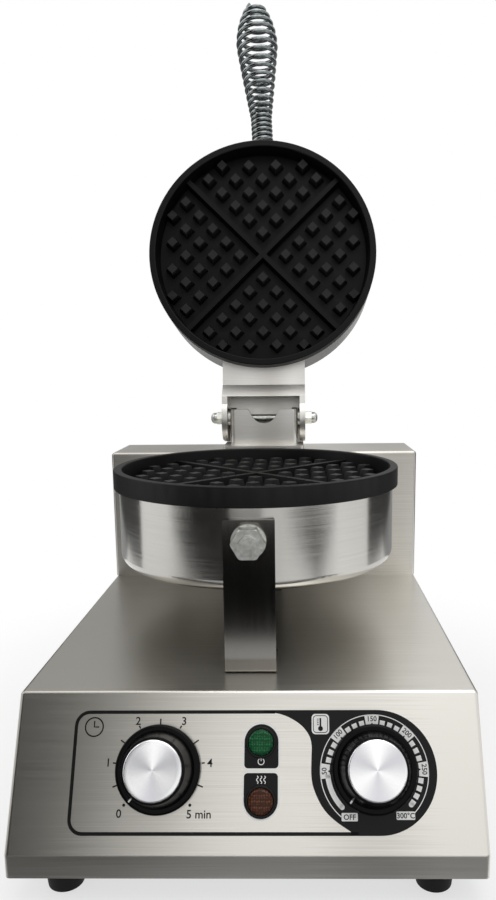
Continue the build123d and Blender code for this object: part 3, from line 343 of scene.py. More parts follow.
@dataclass(frozen=True)
class Moulding(Finish):
    """A moulded plastic or rubber: even colour, a skin as fine as its mould's."""

    specular: float = 0.3
    pattern_mm: Triple = (0.8, 0.8, 0.8)
    detail: float = 3.0


@dataclass(frozen=True)
class TintedLens(Finish):
    """Tinted acrylic over a ribbed reflector: rows of small facets under a glossy face."""

    facet_mm: float = 1.3
    unevenness: float = 0.25
    specular: float = 0.15
    coat: float = 0.06
    coat_roughness: float = 0.03
    spread: Point = (0.05, 0.5)
    relief_mm: float = 0.12

    def pattern(self, tree: Tree, place: Socket) -> tuple[Socket, Socket]:
        """Return the facets as both: they run from 0 in the middle of each to its edge."""
        rows = {"Vector": place, "Scale": 1 / (self.facet_mm * MM), "Randomness": self.unevenness}
        return (add_node(tree, "TexVoronoi", rows).outputs["Distance"],) * 2


@dataclass(frozen=True)
class FibrePad(Finish):
    """Pressed ceramic fibre: soft, pale and hairy at a finger's width."""

    pattern_mm: Triple = (1.2, 1.2, 4.0)
    detail: float = 6.0
    relief_mm: float = 0.4


@dataclass(frozen=True)
class ScreenInk(Finish):
    """Screen-printed enamel ink: flat, slightly glossy, with the screen's faint orange peel."""

    specular: float = 0.2
    pattern_mm: Triple = (0.9, 0.9, 0.9)


@dataclass(frozen=True)
class SpunCap(WorkedMetal):
    """Spun aluminium cap: concentric tool lines, with lobes of highlight and shade painted into its
    colour.
    """

    grain: Grain = Grain.AROUND_UPRIGHT
    line_mm: float = 0.5
    waver: float = 0.6
    # How many bright lobes are painted round the cap as its highlights.
    highlight_lobes: int = 3
    stretch: float = 0.85
    spread: Point = (0.0, 1.0)
    gloss_swing: float = 0.02
    relief_mm: float = 0.006

    def pattern(self, tree: Tree, place: Socket) -> tuple[Socket, Socket]:
        """Cut the lines about the cap's own axis, and paint its colour in highlight lobes from its
        middle.

        Args:
            tree: The material's nodes.
            place: The place on the piece, in metres.

        Returns:
            The lines, and the painted highlight lobes.
        """
        scale = WAVE_SPACING / (self.line_mm * MM)
        lines = add_node(
            tree,
            "TexWave",
            {"Vector": place, "Scale": scale, "Distortion": self.waver},
            wave_type="RINGS",
            rings_direction="Z",
        )
        turn = add_node(tree, "TexGradient", {"Vector": place}, gradient_type="RADIAL")
        turns = {0: turn.outputs["Fac"], 1: 2 * self.highlight_lobes * pi}
        angle = add_node(tree, "Math", turns, operation="MULTIPLY").outputs[0]
        wave = add_node(tree, "Math", {0: angle}, operation="SINE").outputs[0]
        highlight_lobes = add_node(tree, "MapRange", {"Value": wave, "From Min": -1.0})
        return lines.outputs["Fac"], highlight_lobes.outputs[0]


# Folded sheet: long level scratches, with a soft grey painted reflection that slow clouds break up.
CASING_STAINLESS = WorkedStainless("brushed_stainless_sheet", "#DEDBD4", 0.32, dark="#ABA8A1")
# Thick folded plate: shorter scratches, paler and duller than the sheet.
BRACKET_STAINLESS = WorkedStainless(
    "brushed_stainless_plate", "#EDEBE6", 0.4, run_mm=25.0, reflection_cloud_mm=30.0, dark="#CFCCC6",
    stretch=0.3,
)
# A spun bowl: close to a mirror, with tool lines that draw the light out in upright bands.
POT_STAINLESS = WorkedStainless(
    "spun_stainless_pot", "#E6E4DF", 0.18, grain=Grain.AROUND_UPRIGHT, reflection_cloud_mm=60.0,
    scratch_share=0.12, dark="#B4B2AD",
)
# The lid's bowl: the pot's spun steel painted darker as shade, a little duller, with its lines
# round a level axis.
LID_STAINLESS = WorkedStainless(
    "spun_stainless_lid", "#CFCDC8", 0.22, grain=Grain.AROUND_LEVEL, reflection_cloud_mm=60.0,
    scratch_share=0.12, dark="#A3A19C",
)
# Polished bar: the sharpest reflections of the steels, and its colour painted darkest as the dark
# surroundings that it reflects.
STRIP_STAINLESS = WorkedStainless(
    "polished_stainless_bar", "#96948F", 0.14, grain=Grain.ALONG_PLATE, scratch_mm=0.3,
    dark="#64625F", stretch=0.2,
)
# Zinc: a dull silver with faint patches, on every screw, nut and washer.
ZINC_FASTENER = Plating("zinc_plated_steel", "#DCDDD8", 0.36, dark="#B4B5B0")
# Galvanised sheet: flat grey with patches a finger wide.
GALVANISED = Plating(
    "galvanised_sheet", "#B9BABA", 0.45, dark="#8E9090", pattern_mm=(9.0, 9.0, 9.0)
)
# The heaters' tubes: dark, and blotched by heat.
HEATER_SHEATH = Plating("oxidised_sheath", "#5A5B58", 0.5, dark="#33342F")
# Drawn copper: warm, with a soft shine.
COPPER_BULB = Plating("drawn_copper", "#C98A62", 0.3, dark="#94603F")
# Chromed wire: a hard mirror, its colour painted dark as the dark surroundings that it reflects,
# with one bright line on each turn of the coil.
CHROME_WIRE = Plating("chromed_spring_wire", "#8C9191", 0.13, dark="#6E7474", gloss_swing=0.04)
# Sprayed non-stick: a dead black that only a grey highlight painted on the tops of the studs
# relieves.
NONSTICK = NonStickCasting("nonstick_on_cast_aluminium", "#0C0C0C", 0.46)
# Phenolic knobs: a deep black with a thin, even shine.
DIAL_PHENOLIC = Moulding(
    "gloss_black_phenolic", "#060607", 0.22, specular=0.07, coat=0.06,
    pattern_mm=(2.5, 2.5, 2.5), relief_mm=0.008,
)
# Rubber feet: a flat black with hardly a highlight.
FOOT_RUBBER = Moulding("moulded_black_rubber", "#0A0A0A", 0.7, specular=0.2, relief_mm=0.04)
# Nylon bodies and gland: a satin grey-black.
UNIT_PLASTIC = Moulding("moulded_dark_nylon", "#1C1D20", 0.5)
# The terminal block: off-white and chalky.
BLOCK_CERAMIC = Moulding("moulded_pale_block", "#D8D4C8", 0.55)
# The lamps' bezels: a glossy black ring round each lens.
BEZEL_PLASTIC = Moulding("gloss_black_bezel", "#0A0A0A", 0.24, specular=0.15, coat=0.1)
# The lenses: small facets between the tint's depth and its lit shade.
GREEN_LENS = TintedLens("green_tinted_acrylic", "#0A4023", 0.18, dark="#1F8048")
AMBER_LENS = TintedLens("amber_tinted_acrylic", "#3A1E12", 0.18, dark="#7A4A2C")
# The pads: pale, soft and without a highlight.
PAD_FIBRE = FibrePad("pressed_ceramic_fibre", "#E4DFD2", 0.9, dark="#B9B4A8")
# The inks: flat and even, sharp at their edges against the brushed steel.
WHITE_INK = ScreenInk("white_screen_ink", "#F1F1EE", 0.4, specular=0.4)
BLACK_INK = ScreenInk("black_screen_ink", "#0D0D0D", 0.38)
# The dials' caps: bright silver, with soft highlight lobes and darker lobes between them painted
# in.
CAP_ALUMINIUM = SpunCap("spun_aluminium_cap", "#FFFFFF", 0.22, dark="#D6D6DA")


def mesh_piece(name: str, verts: Iterable[Sequence[float]], faces: Iterable[Sequence[int]],
               finish: Finish, smooth: bool = False) -> Piece:
    """Make a mesh object in one finish.

    Args:
        name: The piece's name.
        verts: Corners in metres.
        faces: Corner numbers of each face.
        finish: What it is made of.
        smooth: True for a surface with no flats.

    Returns:
        The object, in the scene.
    """
    mesh = bpy.data.meshes.new(name)
    mesh.from_pydata([tuple(v) for v in verts], [], [tuple(f) for f in faces])
    mesh.polygons.foreach_set("use_smooth", [smooth] * len(mesh.polygons))
    mesh.update()
    return place_mesh(name, mesh, finish)


def place_mesh(name: str, mesh: bpy.types.Mesh, finish: Finish) -> Piece:
    """Put a mesh in the scene as a piece in one finish.

    Args:
        name: The piece's name.
        mesh: Its mesh.
        finish: What it is made of.

    Returns:
        The object, in the scene.
    """
    mesh.materials.clear()
    mesh.materials.append(finish.material())
    made = bpy.data.objects.new(name, mesh)
    bpy.context.scene.collection.objects.link(made)
    LOG.info("%s is made in %s", name, finish.name)
    return made


def arc(centre: Point, radius: float, start: float, end: float, steps: int = 24) -> list[Point]:
    """Return points on an arc, in the panel's millimetres, by degrees clockwise from the top."""
    turns = [radians(start + (end - start) * step / steps) for step in range(steps + 1)]
    return [(centre[0] + radius * sin(t), centre[1] + radius * cos(t)) for t in turns]


def dot(centre: Point, radius: float) -> list[Point]:
    """Return the outline of a small round dot."""
    return arc(centre, radius, 0, RING_END, 15)


def rounded_box(left: float, right: float, low: float, high: float, radius: float) -> list[Point]:
    """Return the outline of a box with round corners."""
    corners = ((right - radius, high - radius, 0), (right - radius, low + radius, 90),
               (left + radius, low + radius, 180), (left + radius, high - radius, 270))
    return [p for x, y, turn in corners for p in arc((x, y), radius, turn, turn + 90, 6)]


@dataclass(frozen=True)
class Stroke:
    """A printed line or, where it has no width, a filled outline, drawn about a sign's middle."""

    name: str
    corners: Sequence[Point]
    width: float = 0.0
    ink: Finish = BLACK_INK
    layer: int = 3
    closed: bool = False


# The point that each sign below is drawn about.
MIDDLE: Point = (0.0, 0.0)
# A clock that reads three.
CLOCK = (
    Stroke("clock_ring", arc(MIDDLE, 4.8, 0, RING_END, 23), 0.75, layer=1, closed=True),
    Stroke("clock_hands", ((0.0, 3.1), MIDDLE, (2.6, 0.0)), 0.75, layer=1),
)
# A white tile with a thin frame, a bulb, a stem and four marks.
THERMOMETER = (
    Stroke("thermometer_tile", rounded_box(-4.7, 4.7, -5.2, 5.2, 2.0), ink=WHITE_INK, layer=2),
    Stroke("thermometer_edge", rounded_box(-3.8, 3.8, -4.3, 4.3, 1.6), 0.35, closed=True),
    Stroke("thermometer_stem", ((0.0, -2.0), (0.0, 3.1)), 0.9),
    Stroke("thermometer_bulb", dot((0.0, -2.3), 1.3)),
    *(
        Stroke(f"thermometer_mark_{mark}", ((-1.9, level), (-0.9, level)), 0.35)
        for mark, level in enumerate((-0.3, 0.65, 1.6, 2.55))
    ),
)
# An open ring with a bar.
POWER = (
    Stroke("power_ring", arc(MIDDLE, 1.6, 35, 325, 16), 0.45, WHITE_INK),
    Stroke("power_bar", ((0.0, 0.2), (0.0, 2.1)), 0.45, WHITE_INK),
)
# Three rising waves.
HEAT_WAVES = tuple(
    Stroke(
        f"heat_wave_{wave}",
        [(1.9 * (wave - 1) + 0.45 * sin(s * pi / 4), 3.8 * s / 12 - 1.9) for s in range(13)],
        0.45,
        WHITE_INK,
    )
    for wave in range(3)
)


@dataclass
class Panel:
    """The sloped panel as a drawing board: x to the right and y up the slope, from its top edge."""

    origin: Vector
    right: Vector
    up: Vector
    out: Vector
    ink_mm: float = 0.05

    @classmethod
    def from_dial(cls, joint: dict, dial: Point) -> "Panel":
        """Work the board out from one dial.

        Args:
            joint: The dial's joint, with its place and axis.
            dial: Where that dial is on the board.

        Returns:
            The board.
        """
        out = -Vector(joint["axis"]).normalized()
        right = Vector((1.0, 0.0, 0.0))
        up = out.cross(right)
        origin = Vector(joint["pos_m"]) - right * dial[0] * MM - up * dial[1] * MM
        return cls(origin, right, up, out)

    def place(self, point: Point, lift_mm: float = 0.0) -> Vector:
        """Return a point of the board, in metres in the row frame."""
        return self.origin + (self.right * point[0] + self.up * point[1] + self.out * lift_mm) * MM

    def matrix(self, point: Point, lift_mm: float = 0.0, turn: float = 0.0) -> Matrix:
        """Return a frame that stands on the board at a point, turned clockwise by degrees."""
        axes = Matrix((self.right, self.up, self.out)).transposed().to_4x4()
        return (Matrix.Translation(self.place(point, lift_mm)) @ axes
                @ Matrix.Rotation(-radians(turn), 4, "Z"))

    def patch(self, name: str, outline: Sequence[Point], ink: Finish,
              layer: int = 1) -> Piece:
        """Print a filled outline.

        Args:
            name: The piece's name.
            outline: Its corners on the board.
            ink: The ink.
            layer: Which coat of ink it is, counted from the steel.

        Returns:
            The printed piece, which rides on the base.
        """
        lift = layer * self.ink_mm
        corners = [self.place(point, lift) for point in outline]
        made = mesh_piece(name, corners, [range(len(outline))], ink)
        work = bmesh.new()
        work.from_mesh(made.data)
        bmesh.ops.triangulate(work, faces=work.faces[:])
        work.normal_update()
        for face in work.faces:
            if face.normal.dot(self.out) < 0:
                face.normal_flip()
        work.to_mesh(made.data)
        work.free()
        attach(made, "base")
        return made

    def line(self, name: str, route: Sequence[Point], width: float, ink: Finish, layer: int = 1,
             closed: bool = False) -> Piece:
        """Print a line of even width.

        Args:
            name: The piece's name.
            route: Corners of its middle, on the board.
            width: Its width in millimetres.
            ink: The ink.
            layer: Which coat of ink it is, counted from the steel.
            closed: True where the last corner joins the first.

        Returns:
            The printed piece, which rides on the base.
        """
        count = len(route)
        verts: list[Vector] = []
        for number, point in enumerate(route):
            before = route[(number - 1) % count] if closed or number else point
            after = route[(number + 1) % count] if closed or number < count - 1 else point
            along = Vector((after[0] - before[0], after[1] - before[1])).normalized()
            side = Vector((-along.y, along.x)) * width / 2
            for way in (1, -1):
                spot = (point[0] + way * side.x, point[1] + way * side.y)
                verts.append(self.place(spot, layer * self.ink_mm))
        faces = []
        for near in range(count if closed else count - 1):
            far = (near + 1) % count
            faces.append((2 * near + 1, 2 * far + 1, 2 * far, 2 * near))
        made = mesh_piece(name, verts, faces, ink)
        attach(made, "base")
        return made

    def words(self, name: str, text: str, point: Point, height: float, layer: int = 1,
              turn: float = 0.0, weight: float = 0.0) -> Piece:
        """Print black figures centred on a point.

        Args:
            name: The piece's name.
            text: The figures.
            point: Their middle on the board.
            height: Height of a figure in millimetres.
            layer: Which coat of ink it is, counted from the steel.
            turn: Degrees clockwise.
            weight: How much the strokes swell, in millimetres.

        Returns:
            The printed piece, which rides on the base.
        """
        curve = bpy.data.curves.new(name + "_face", "FONT")
        curve.body = text
        curve.size = height / FIGURE_SHARE * MM
        curve.offset = weight * MM
        curve.align_x = "CENTER"
        curve.resolution_u = 3
        draft = bpy.data.objects.new(name + "_face", curve)
        bpy.context.scene.collection.objects.link(draft)
        ready = draft.evaluated_get(bpy.context.evaluated_depsgraph_get())
        mesh = bpy.data.meshes.new_from_object(ready)
        bpy.data.objects.remove(draft)
        mesh.transform(Matrix.Translation((0.0, -height / 2 * MM, 0.0)))
        mesh.transform(self.matrix(point, layer * self.ink_mm, turn))
        made = place_mesh(name, mesh, BLACK_INK)
        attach(made, "base")
        return made

    def sign(self, middle: Point, strokes: Iterable[Stroke]) -> None:
        """Print a sign.

        Args:
            middle: Its middle on the board.
            strokes: What it is drawn with.
        """
        for stroke in strokes:
            corners = [(middle[0] + x, middle[1] + y) for x, y in stroke.corners]
            if stroke.width:
                self.line(stroke.name, corners, stroke.width, stroke.ink, stroke.layer,
                          stroke.closed)
            else:
                self.patch(stroke.name, corners, stroke.ink, stroke.layer)


@dataclass
class TimerScale:
    """The timer's printed scale: whole and half minutes round the dial."""

    board: Panel
    centre: Point
    sweep: float = 138.0
    minutes: int = 5
    line_mm: float = 0.75
    tick_r: float = 23.8
    whole_tick: float = 1.6
    half_tick: float = 3.2
    dot_r: float = 0.8
    end_dot: Point = (17.3, -17.6)
    figure_height: float = 4.0
    figure_weight: float = 0.08
    # The figures' middles from the dial's, since the ends' figures stand off the ring of others.
    figures: tuple[tuple[str, Point], ...] = (
        ("0", (-19.7, -21.6)), ("1", (-26.9, 3.3)), ("2", (-12.1, 24.3)),
        ("3", (12.7, 24.2)), ("4", (27.2, 3.1)), ("5 min", (22.1, -21.9)),
    )

    def at(self, minute: float, radius: float) -> Point:
        """Return the point at a time on the dial and a distance from its middle."""
        turn = radians(-self.sweep + 2 * self.sweep * minute / self.minutes)
        return self.off((radius * sin(turn), radius * cos(turn)))

    def off(self, shift: Point) -> Point:
        """Return the point that is this far off the dial's middle."""
        return (self.centre[0] + shift[0], self.centre[1] + shift[1])

    def build(self) -> None:
        """Print ticks, dots and figures."""
        board = self.board
        for half in range(1, 2 * self.minutes):
            reach = (self.half_tick if half % 2 else self.whole_tick) / 2
            route = [self.at(half / 2, self.tick_r + way * reach) for way in (-1, 1)]
            board.line(f"timer_tick_{half}", route, self.line_mm, BLACK_INK)
        for end, side in ((0, -1), (self.minutes, 1)):
            spot = self.off((side * self.end_dot[0], self.end_dot[1]))
            board.patch(f"timer_dot_{end}", dot(spot, self.dot_r), BLACK_INK)
        for number, (text, shift) in enumerate(self.figures):
            board.words(f"timer_figure_{number}", text, self.off(shift), self.figure_height,
                        weight=self.figure_weight)


@dataclass
class HeatScale:
    """The thermostat's printed scale: white tabs and squares on the black field."""

    board: Panel
    centre: Point
    sweep: float = 141.0
    tabs: int = 5
    tab_value: int = 50
    step: float = 44.4
    middle_turn: float = -1.0
    rim_r: float = 28.4
    rim_mm: float = 0.45
    tab_depth: float = 4.9
    tab_spread: float = 7.9
    tab_figure_r: float = 26.4
    notch_spread: float = 1.6
    # The notch's foot and tip from the tab's foot.
    notch_depths: Point = (-0.1, 1.0)
    square_r: float = 24.6
    square_mm: float = 2.7
    square_spread: float = 3.1
    square_pitch: float = 9.3
    # The round-ended bars before the first tab and after the last squares, in degrees.
    first_bar: Point = (-135.0, -94.0)
    last_bar: Point = (125.3, 131.0)
    figure_height: float = 2.5
    figure_weight: float = 0.05
    # The tabs at the scale's two ends: name, figures, middle from the dial's and width.
    end_tabs: tuple[tuple[str, str, Point, float], ...] = (
        ("off", "OFF", (-13.6, -22.1), 8.4),
        ("top", "300°C", (15.4, -21.4), 9.6),
    )
    end_tab_height: float = 4.0
    end_tab_corner: float = 0.5

    def at(self, turn: float, radius: float) -> Point:
        """Return the point at degrees clockwise from the top and a distance from the middle."""
        angle = radians(turn)
        return (self.centre[0] + radius * sin(angle), self.centre[1] + radius * cos(angle))

    def band(self, outer: float, inner: float, start: float, end: float) -> list[Point]:
        """Return the outline of a piece of a ring."""
        return arc(self.centre, outer, start, end, 10) + arc(self.centre, inner, end, start, 10)

    def tab(self, figure: int, turn: float) -> None:
        """Print a white tab that hangs from the rim, with its figure and a notch below it.

        Args:
            figure: The number on the tab.
            turn: Its place in degrees clockwise from the top.
        """
        board, foot = self.board, self.rim_r - self.tab_depth
        outline = self.band(self.rim_r, foot, turn - self.tab_spread, turn + self.tab_spread)
        board.patch(f"heat_tab_{figure}", outline, WHITE_INK, layer=2)
        low, tip = (foot + depth for depth in self.notch_depths)
        notch = [self.at(turn - self.notch_spread, low), self.at(turn, tip),
                 self.at(turn + self.notch_spread, low)]
        board.patch(f"heat_notch_{figure}", notch, BLACK_INK, layer=3)
        board.words(f"heat_figure_{figure}", str(figure), self.at(turn, self.tab_figure_r),
                    self.figure_height, layer=3, turn=turn, weight=self.figure_weight)

    def build(self) -> None:
        """Print the rim, tabs, squares, bars and end tabs."""
        board = self.board
        rim = arc(self.centre, self.rim_r, -self.sweep, self.sweep, 90)
        board.line("heat_rim", rim, self.rim_mm, WHITE_INK, layer=2)
        outer, inner = self.square_r + self.square_mm / 2, self.square_r - self.square_mm / 2
        for number in range(self.tabs):
            turn = self.middle_turn + (number - self.tabs // 2) * self.step
            self.tab(self.tab_value * (number + 1), turn)
            for square in range(3):
                at = turn + self.step / 2 + (square - 1) * self.square_pitch
                outline = self.band(outer, inner, at - self.square_spread, at + self.square_spread)
                board.patch(f"heat_square_{number}_{square}", outline, WHITE_INK, layer=2)
        for name, (start, end), tip in (
            ("heat_band", self.first_bar, self.first_bar[0]),
            ("heat_square_last", self.last_bar, self.last_bar[1]),
        ):
            board.patch(name, self.band(outer, inner, start, end), WHITE_INK, layer=2)
            cap = dot(self.at(tip, self.square_r), self.square_mm / 2)
            board.patch(f"{name}_end", cap, WHITE_INK, layer=2)
        for name, text, (x, y), width in self.end_tabs:
            spot = (self.centre[0] + x, self.centre[1] + y)
            left, low = spot[0] - width / 2, spot[1] - self.end_tab_height / 2
            high = low + self.end_tab_height
            box = rounded_box(left, left + width, low, high, self.end_tab_corner)
            board.patch(f"{name}_tab", box, WHITE_INK, layer=3)
            board.words(f"{name}_figure", text, spot, self.figure_height, layer=4,
                        weight=self.figure_weight)


@dataclass
class PanelPrint:
    """Everything printed on the panel: frame line, black field, lamp plates, scales and signs."""

    board: Panel
    left: float = -92.4
    top: float = -10.8
    foot: float = -70.9
    corner: float = 7.0
    line_mm: float = 1.8
    field_x: float = 69.0
    # How far the frame line runs on under the field at the top and at the foot.
    tuck: Point = (6.0, 4.0)
    # Where the field's inner edge leaves the top line, swings in and comes down to the foot line.
    field_edge: tuple[Point, ...] = (
        (8.6, -10.9), (18.3, -11.7), (28.0, -16.6), (32.9, -22.3), (34.3, -27.4), (34.0, -33.0),
        (33.6, -44.4), (35.5, -51.2), (39.7, -59.2), (45.8, -64.9), (53.8, -69.8),
    )
    # The signs' middles.
    clock_at: Point = (-82.7, -18.4)
    thermometer_at: Point = (39.0, -17.1)
    power_at: Point = (7.3, -35.9)
    waves_at: Point = (7.3, -44.9)
    # How far the printed heat scale sits below its dial's axis.
    heat_drop: float = 1.2
    edge_mm: float = 0.7
    plate_corner: float = 2.0
    # Each lamp plate's name, the middle of its square end, its width, its length, and 1 where
    # its round end is uppermost or -1 where it is lowest.
    lamp_plates: tuple[tuple[str, Point, float, float, int], ...] = (
        ("power", (7.45, -39.3), 18.1, 22.2, 1),
        ("heat_lamp", (7.25, -41.6), 17.9, 22.3, -1),
    )

    def smooth_edge(self) -> list[Point]:
        """Round the field's inner edge by cutting its corners twice.

        Returns:
            The rounded edge.
        """
        points = list(self.field_edge)
        for _ in range(2):
            cut = [points[0]]
            for a, b in zip(points, points[1:]):
                cut.append((0.75 * a[0] + 0.25 * b[0], 0.75 * a[1] + 0.25 * b[1]))
                cut.append((0.25 * a[0] + 0.75 * b[0], 0.25 * a[1] + 0.75 * b[1]))
            points = cut + [points[-1]]
        return points

    def build(self) -> None:
        """Print it all, from the steel up."""
        board = self.board
        low, high = self.foot - self.line_mm / 2, self.top + self.line_mm / 2
        first, last = self.field_edge[0][0], self.field_edge[-1][0]
        turn_x = self.left + self.corner
        route = [(last + self.tuck[1], self.foot)]
        route += arc((turn_x, self.foot + self.corner), self.corner, 180, 270, 8)
        route += arc((turn_x, self.top - self.corner), self.corner, 270, 360, 8)
        route += [(first + self.tuck[0], self.top)]
        board.line("print_frame", route, self.line_mm, BLACK_INK)
        middle = (self.field_x, (high + low) / 2)
        outline = [(first, high), *arc(middle, (high - low) / 2, 0, 180, 48), (last, low)]
        board.patch("print_field", outline + self.smooth_edge()[::-1], BLACK_INK)
        TimerScale(board, TIMER_AT).build()
        board.sign(self.clock_at, CLOCK)
        HeatScale(board, (HEAT_AT[0], HEAT_AT[1] - self.heat_drop)).build()
        board.sign(self.thermometer_at, THERMOMETER)
        self.plates()
        board.sign(self.power_at, POWER)
        board.sign(self.waves_at, HEAT_WAVES)

    def plates(self) -> None:
        """Print the lamps' black plates, each with one round end and a thin white edge."""
        corner = self.plate_corner
        for name, (middle, foot), width, height, way in self.lamp_plates:
            half = width / 2
            for part, ink, grow, layer in (
                ("edge", WHITE_INK, self.edge_mm, 1),
                ("plate", BLACK_INK, 0.0, 2),
            ):
                local = arc((0.0, height - half), half + grow, -90, 90, 20)
                local += arc((half - corner, corner), corner + grow, 90, 180, 6)
                local += arc((corner - half, corner), corner + grow, 180, 270, 6)
                outline = [(middle + x, foot + way * y) for x, y in local]
                self.board.patch(f"{name}_{part}", outline, ink, layer)


@dataclass
class Dial:
    """A dial's dress: the spun cap that stands for the plain one, and its white pointer."""

    board: Panel
    name: str
    body: str
    centre: Point
    rest_turn: float
    cap_r: float = 15.0
    cap_top: float = 19.0
    cap_drop: float = 2.2
    rim_round: float = 0.9
    rim_steps: int = 6
    dish: float = 0.25
    dish_steps: int = 12
    sides: int = 96
    pointer_mm: float = 0.9
    pointer_lift: float = 0.06
    # The pointer's way down the knob: distance from its axis and height over the panel.
    pointer_path: tuple[Point, ...] = ((15.4, 16.8), (19.3, 4.1), (21.2, 3.95))

    def build(self) -> None:
        """Turn the cap and lay the pointer from the cap down the grip and over the skirt."""
        self.cap()
        self.pointer()

    def profile(self) -> list[Point]:
        """Draw the cap's section: slightly dished, with a round rim.

        Returns:
            Distances from the axis with heights from the cap's top.
        """
        points: list[Point] = [(0.0, -self.dish)]
        for step in range(1, self.dish_steps - 1):
            share = step / self.dish_steps
            points.append((self.cap_r * share, -self.dish * (1 - share**2)))
        middle = self.cap_r - self.rim_round
        for step in range(self.rim_steps + 1):
            turn = radians(90 - 90 * step / self.rim_steps)
            points.append((middle + self.rim_round * cos(turn), self.rim_round * (sin(turn) - 1)))
        return points + [(self.cap_r, -self.cap_drop), (0.0, -self.cap_drop)]

    def cap(self) -> None:
        """Turn the cap as one lathe form."""
        profile, sides = self.profile(), self.sides
        verts = [
            (r * cos(2 * pi * side / sides) * MM, r * sin(2 * pi * side / sides) * MM, z * MM)
            for r, z in profile
            for side in range(sides)
        ]
        faces = []
        for low in range(0, (len(profile) - 1) * sides, sides):
            for side in range(sides):
                after = (side + 1) % sides
                faces.append((low + side, low + sides + side, low + sides + after, low + after))
        made = mesh_piece(f"{self.name}_spun_cap", verts, faces, CAP_ALUMINIUM, smooth=True)
        work = bmesh.new()
        work.from_mesh(made.data)
        bmesh.ops.remove_doubles(work, verts=work.verts[:], dist=0.002 * MM)
        bmesh.ops.recalc_face_normals(work, faces=work.faces[:])
        work.to_mesh(made.data)
        work.free()
        made.matrix_world = self.board.matrix(self.centre, self.cap_top)
        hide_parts(f"{self.name}_knob_cap")
        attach(made, self.body)

    def pointer(self) -> None:
        """Lay the white line: a thin raised bar that follows the knob's own section."""
        turned = self.board.matrix(self.centre, 0.0, self.rest_turn)
        half = self.pointer_mm / 2
        verts = [
            turned @ (Vector((side * half, r, z + self.pointer_lift)) * MM)
            for r, z in self.pointer_path
            for side in (-1, 1)
        ]
        spans = len(self.pointer_path) - 1
        faces = [(2 * n, 2 * n + 1, 2 * n + 3, 2 * n + 2) for n in range(spans)]
        made = mesh_piece(f"{self.name}_pointer", verts, faces, WHITE_INK)
        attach(made, self.body)


@dataclass
class Solids:
    """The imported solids, each dressed in what its own piece is made of."""

    finishes: tuple[tuple[Finish, str], ...] = (
        (CASING_STAINLESS, "casing rear_box"),
        (GALVANISED, "rear_cover base_plate lower_clamp_plate upper_clamp_plate"),
        (POT_STAINLESS, "lower_shell"),
        (LID_STAINLESS, "lid_shell"),
        (BRACKET_STAINLESS, "hinge_base lid_bracket"),
        (STRIP_STAINLESS, "front_strip rear_strip lead_conduit"),
        (ZINC_FASTENER, "cover_screws base_screws foot_screws strip_bolts strip_washers"),
        (ZINC_FASTENER, "strip_nuts strip_foot_screws hinge_screws lower_clamp_screws"),
        (ZINC_FASTENER, "upper_clamp_screws hinge_pin cap_nuts hinge_washers handle_stud"),
        (ZINC_FASTENER, "handle_nut timer_nut thermostat_nut timer_shaft thermostat_shaft"),
        (NONSTICK, "lower_plate upper_plate"),
        (CHROME_WIRE, "handle_coil"),
        (HEATER_SHEATH, "lower_heater upper_heater"),
        (PAD_FIBRE, "lower_insulation upper_insulation"),
        (COPPER_BULB, "thermostat_bulb"),
        (FOOT_RUBBER, "foot_front_left foot_front_right foot_rear_left foot_rear_right"),
        (DIAL_PHENOLIC, "timer_knob thermostat_knob timer_knob_cap thermostat_knob_cap"),
        (UNIT_PLASTIC, "timer_body thermostat_body power_lamp_body heat_lamp_body"),
        (UNIT_PLASTIC, "cable_gland gland_nut"),
        (BLOCK_CERAMIC, "terminal_block"),
        (BEZEL_PLASTIC, "power_lamp_bezel heat_lamp_bezel"),
        (GREEN_LENS, "power_lamp_lens"),
        (AMBER_LENS, "heat_lamp_lens"),
    )

    def build(self) -> None:
        """Put each finish on its nodes."""
        for finish, names in self.finishes:
            for name in names.split():
                mesh = frame["nodes"][name].data
                mesh.materials.clear()
                mesh.materials.append(finish.material())
                LOG.info("%s is in %s", name, finish.name)


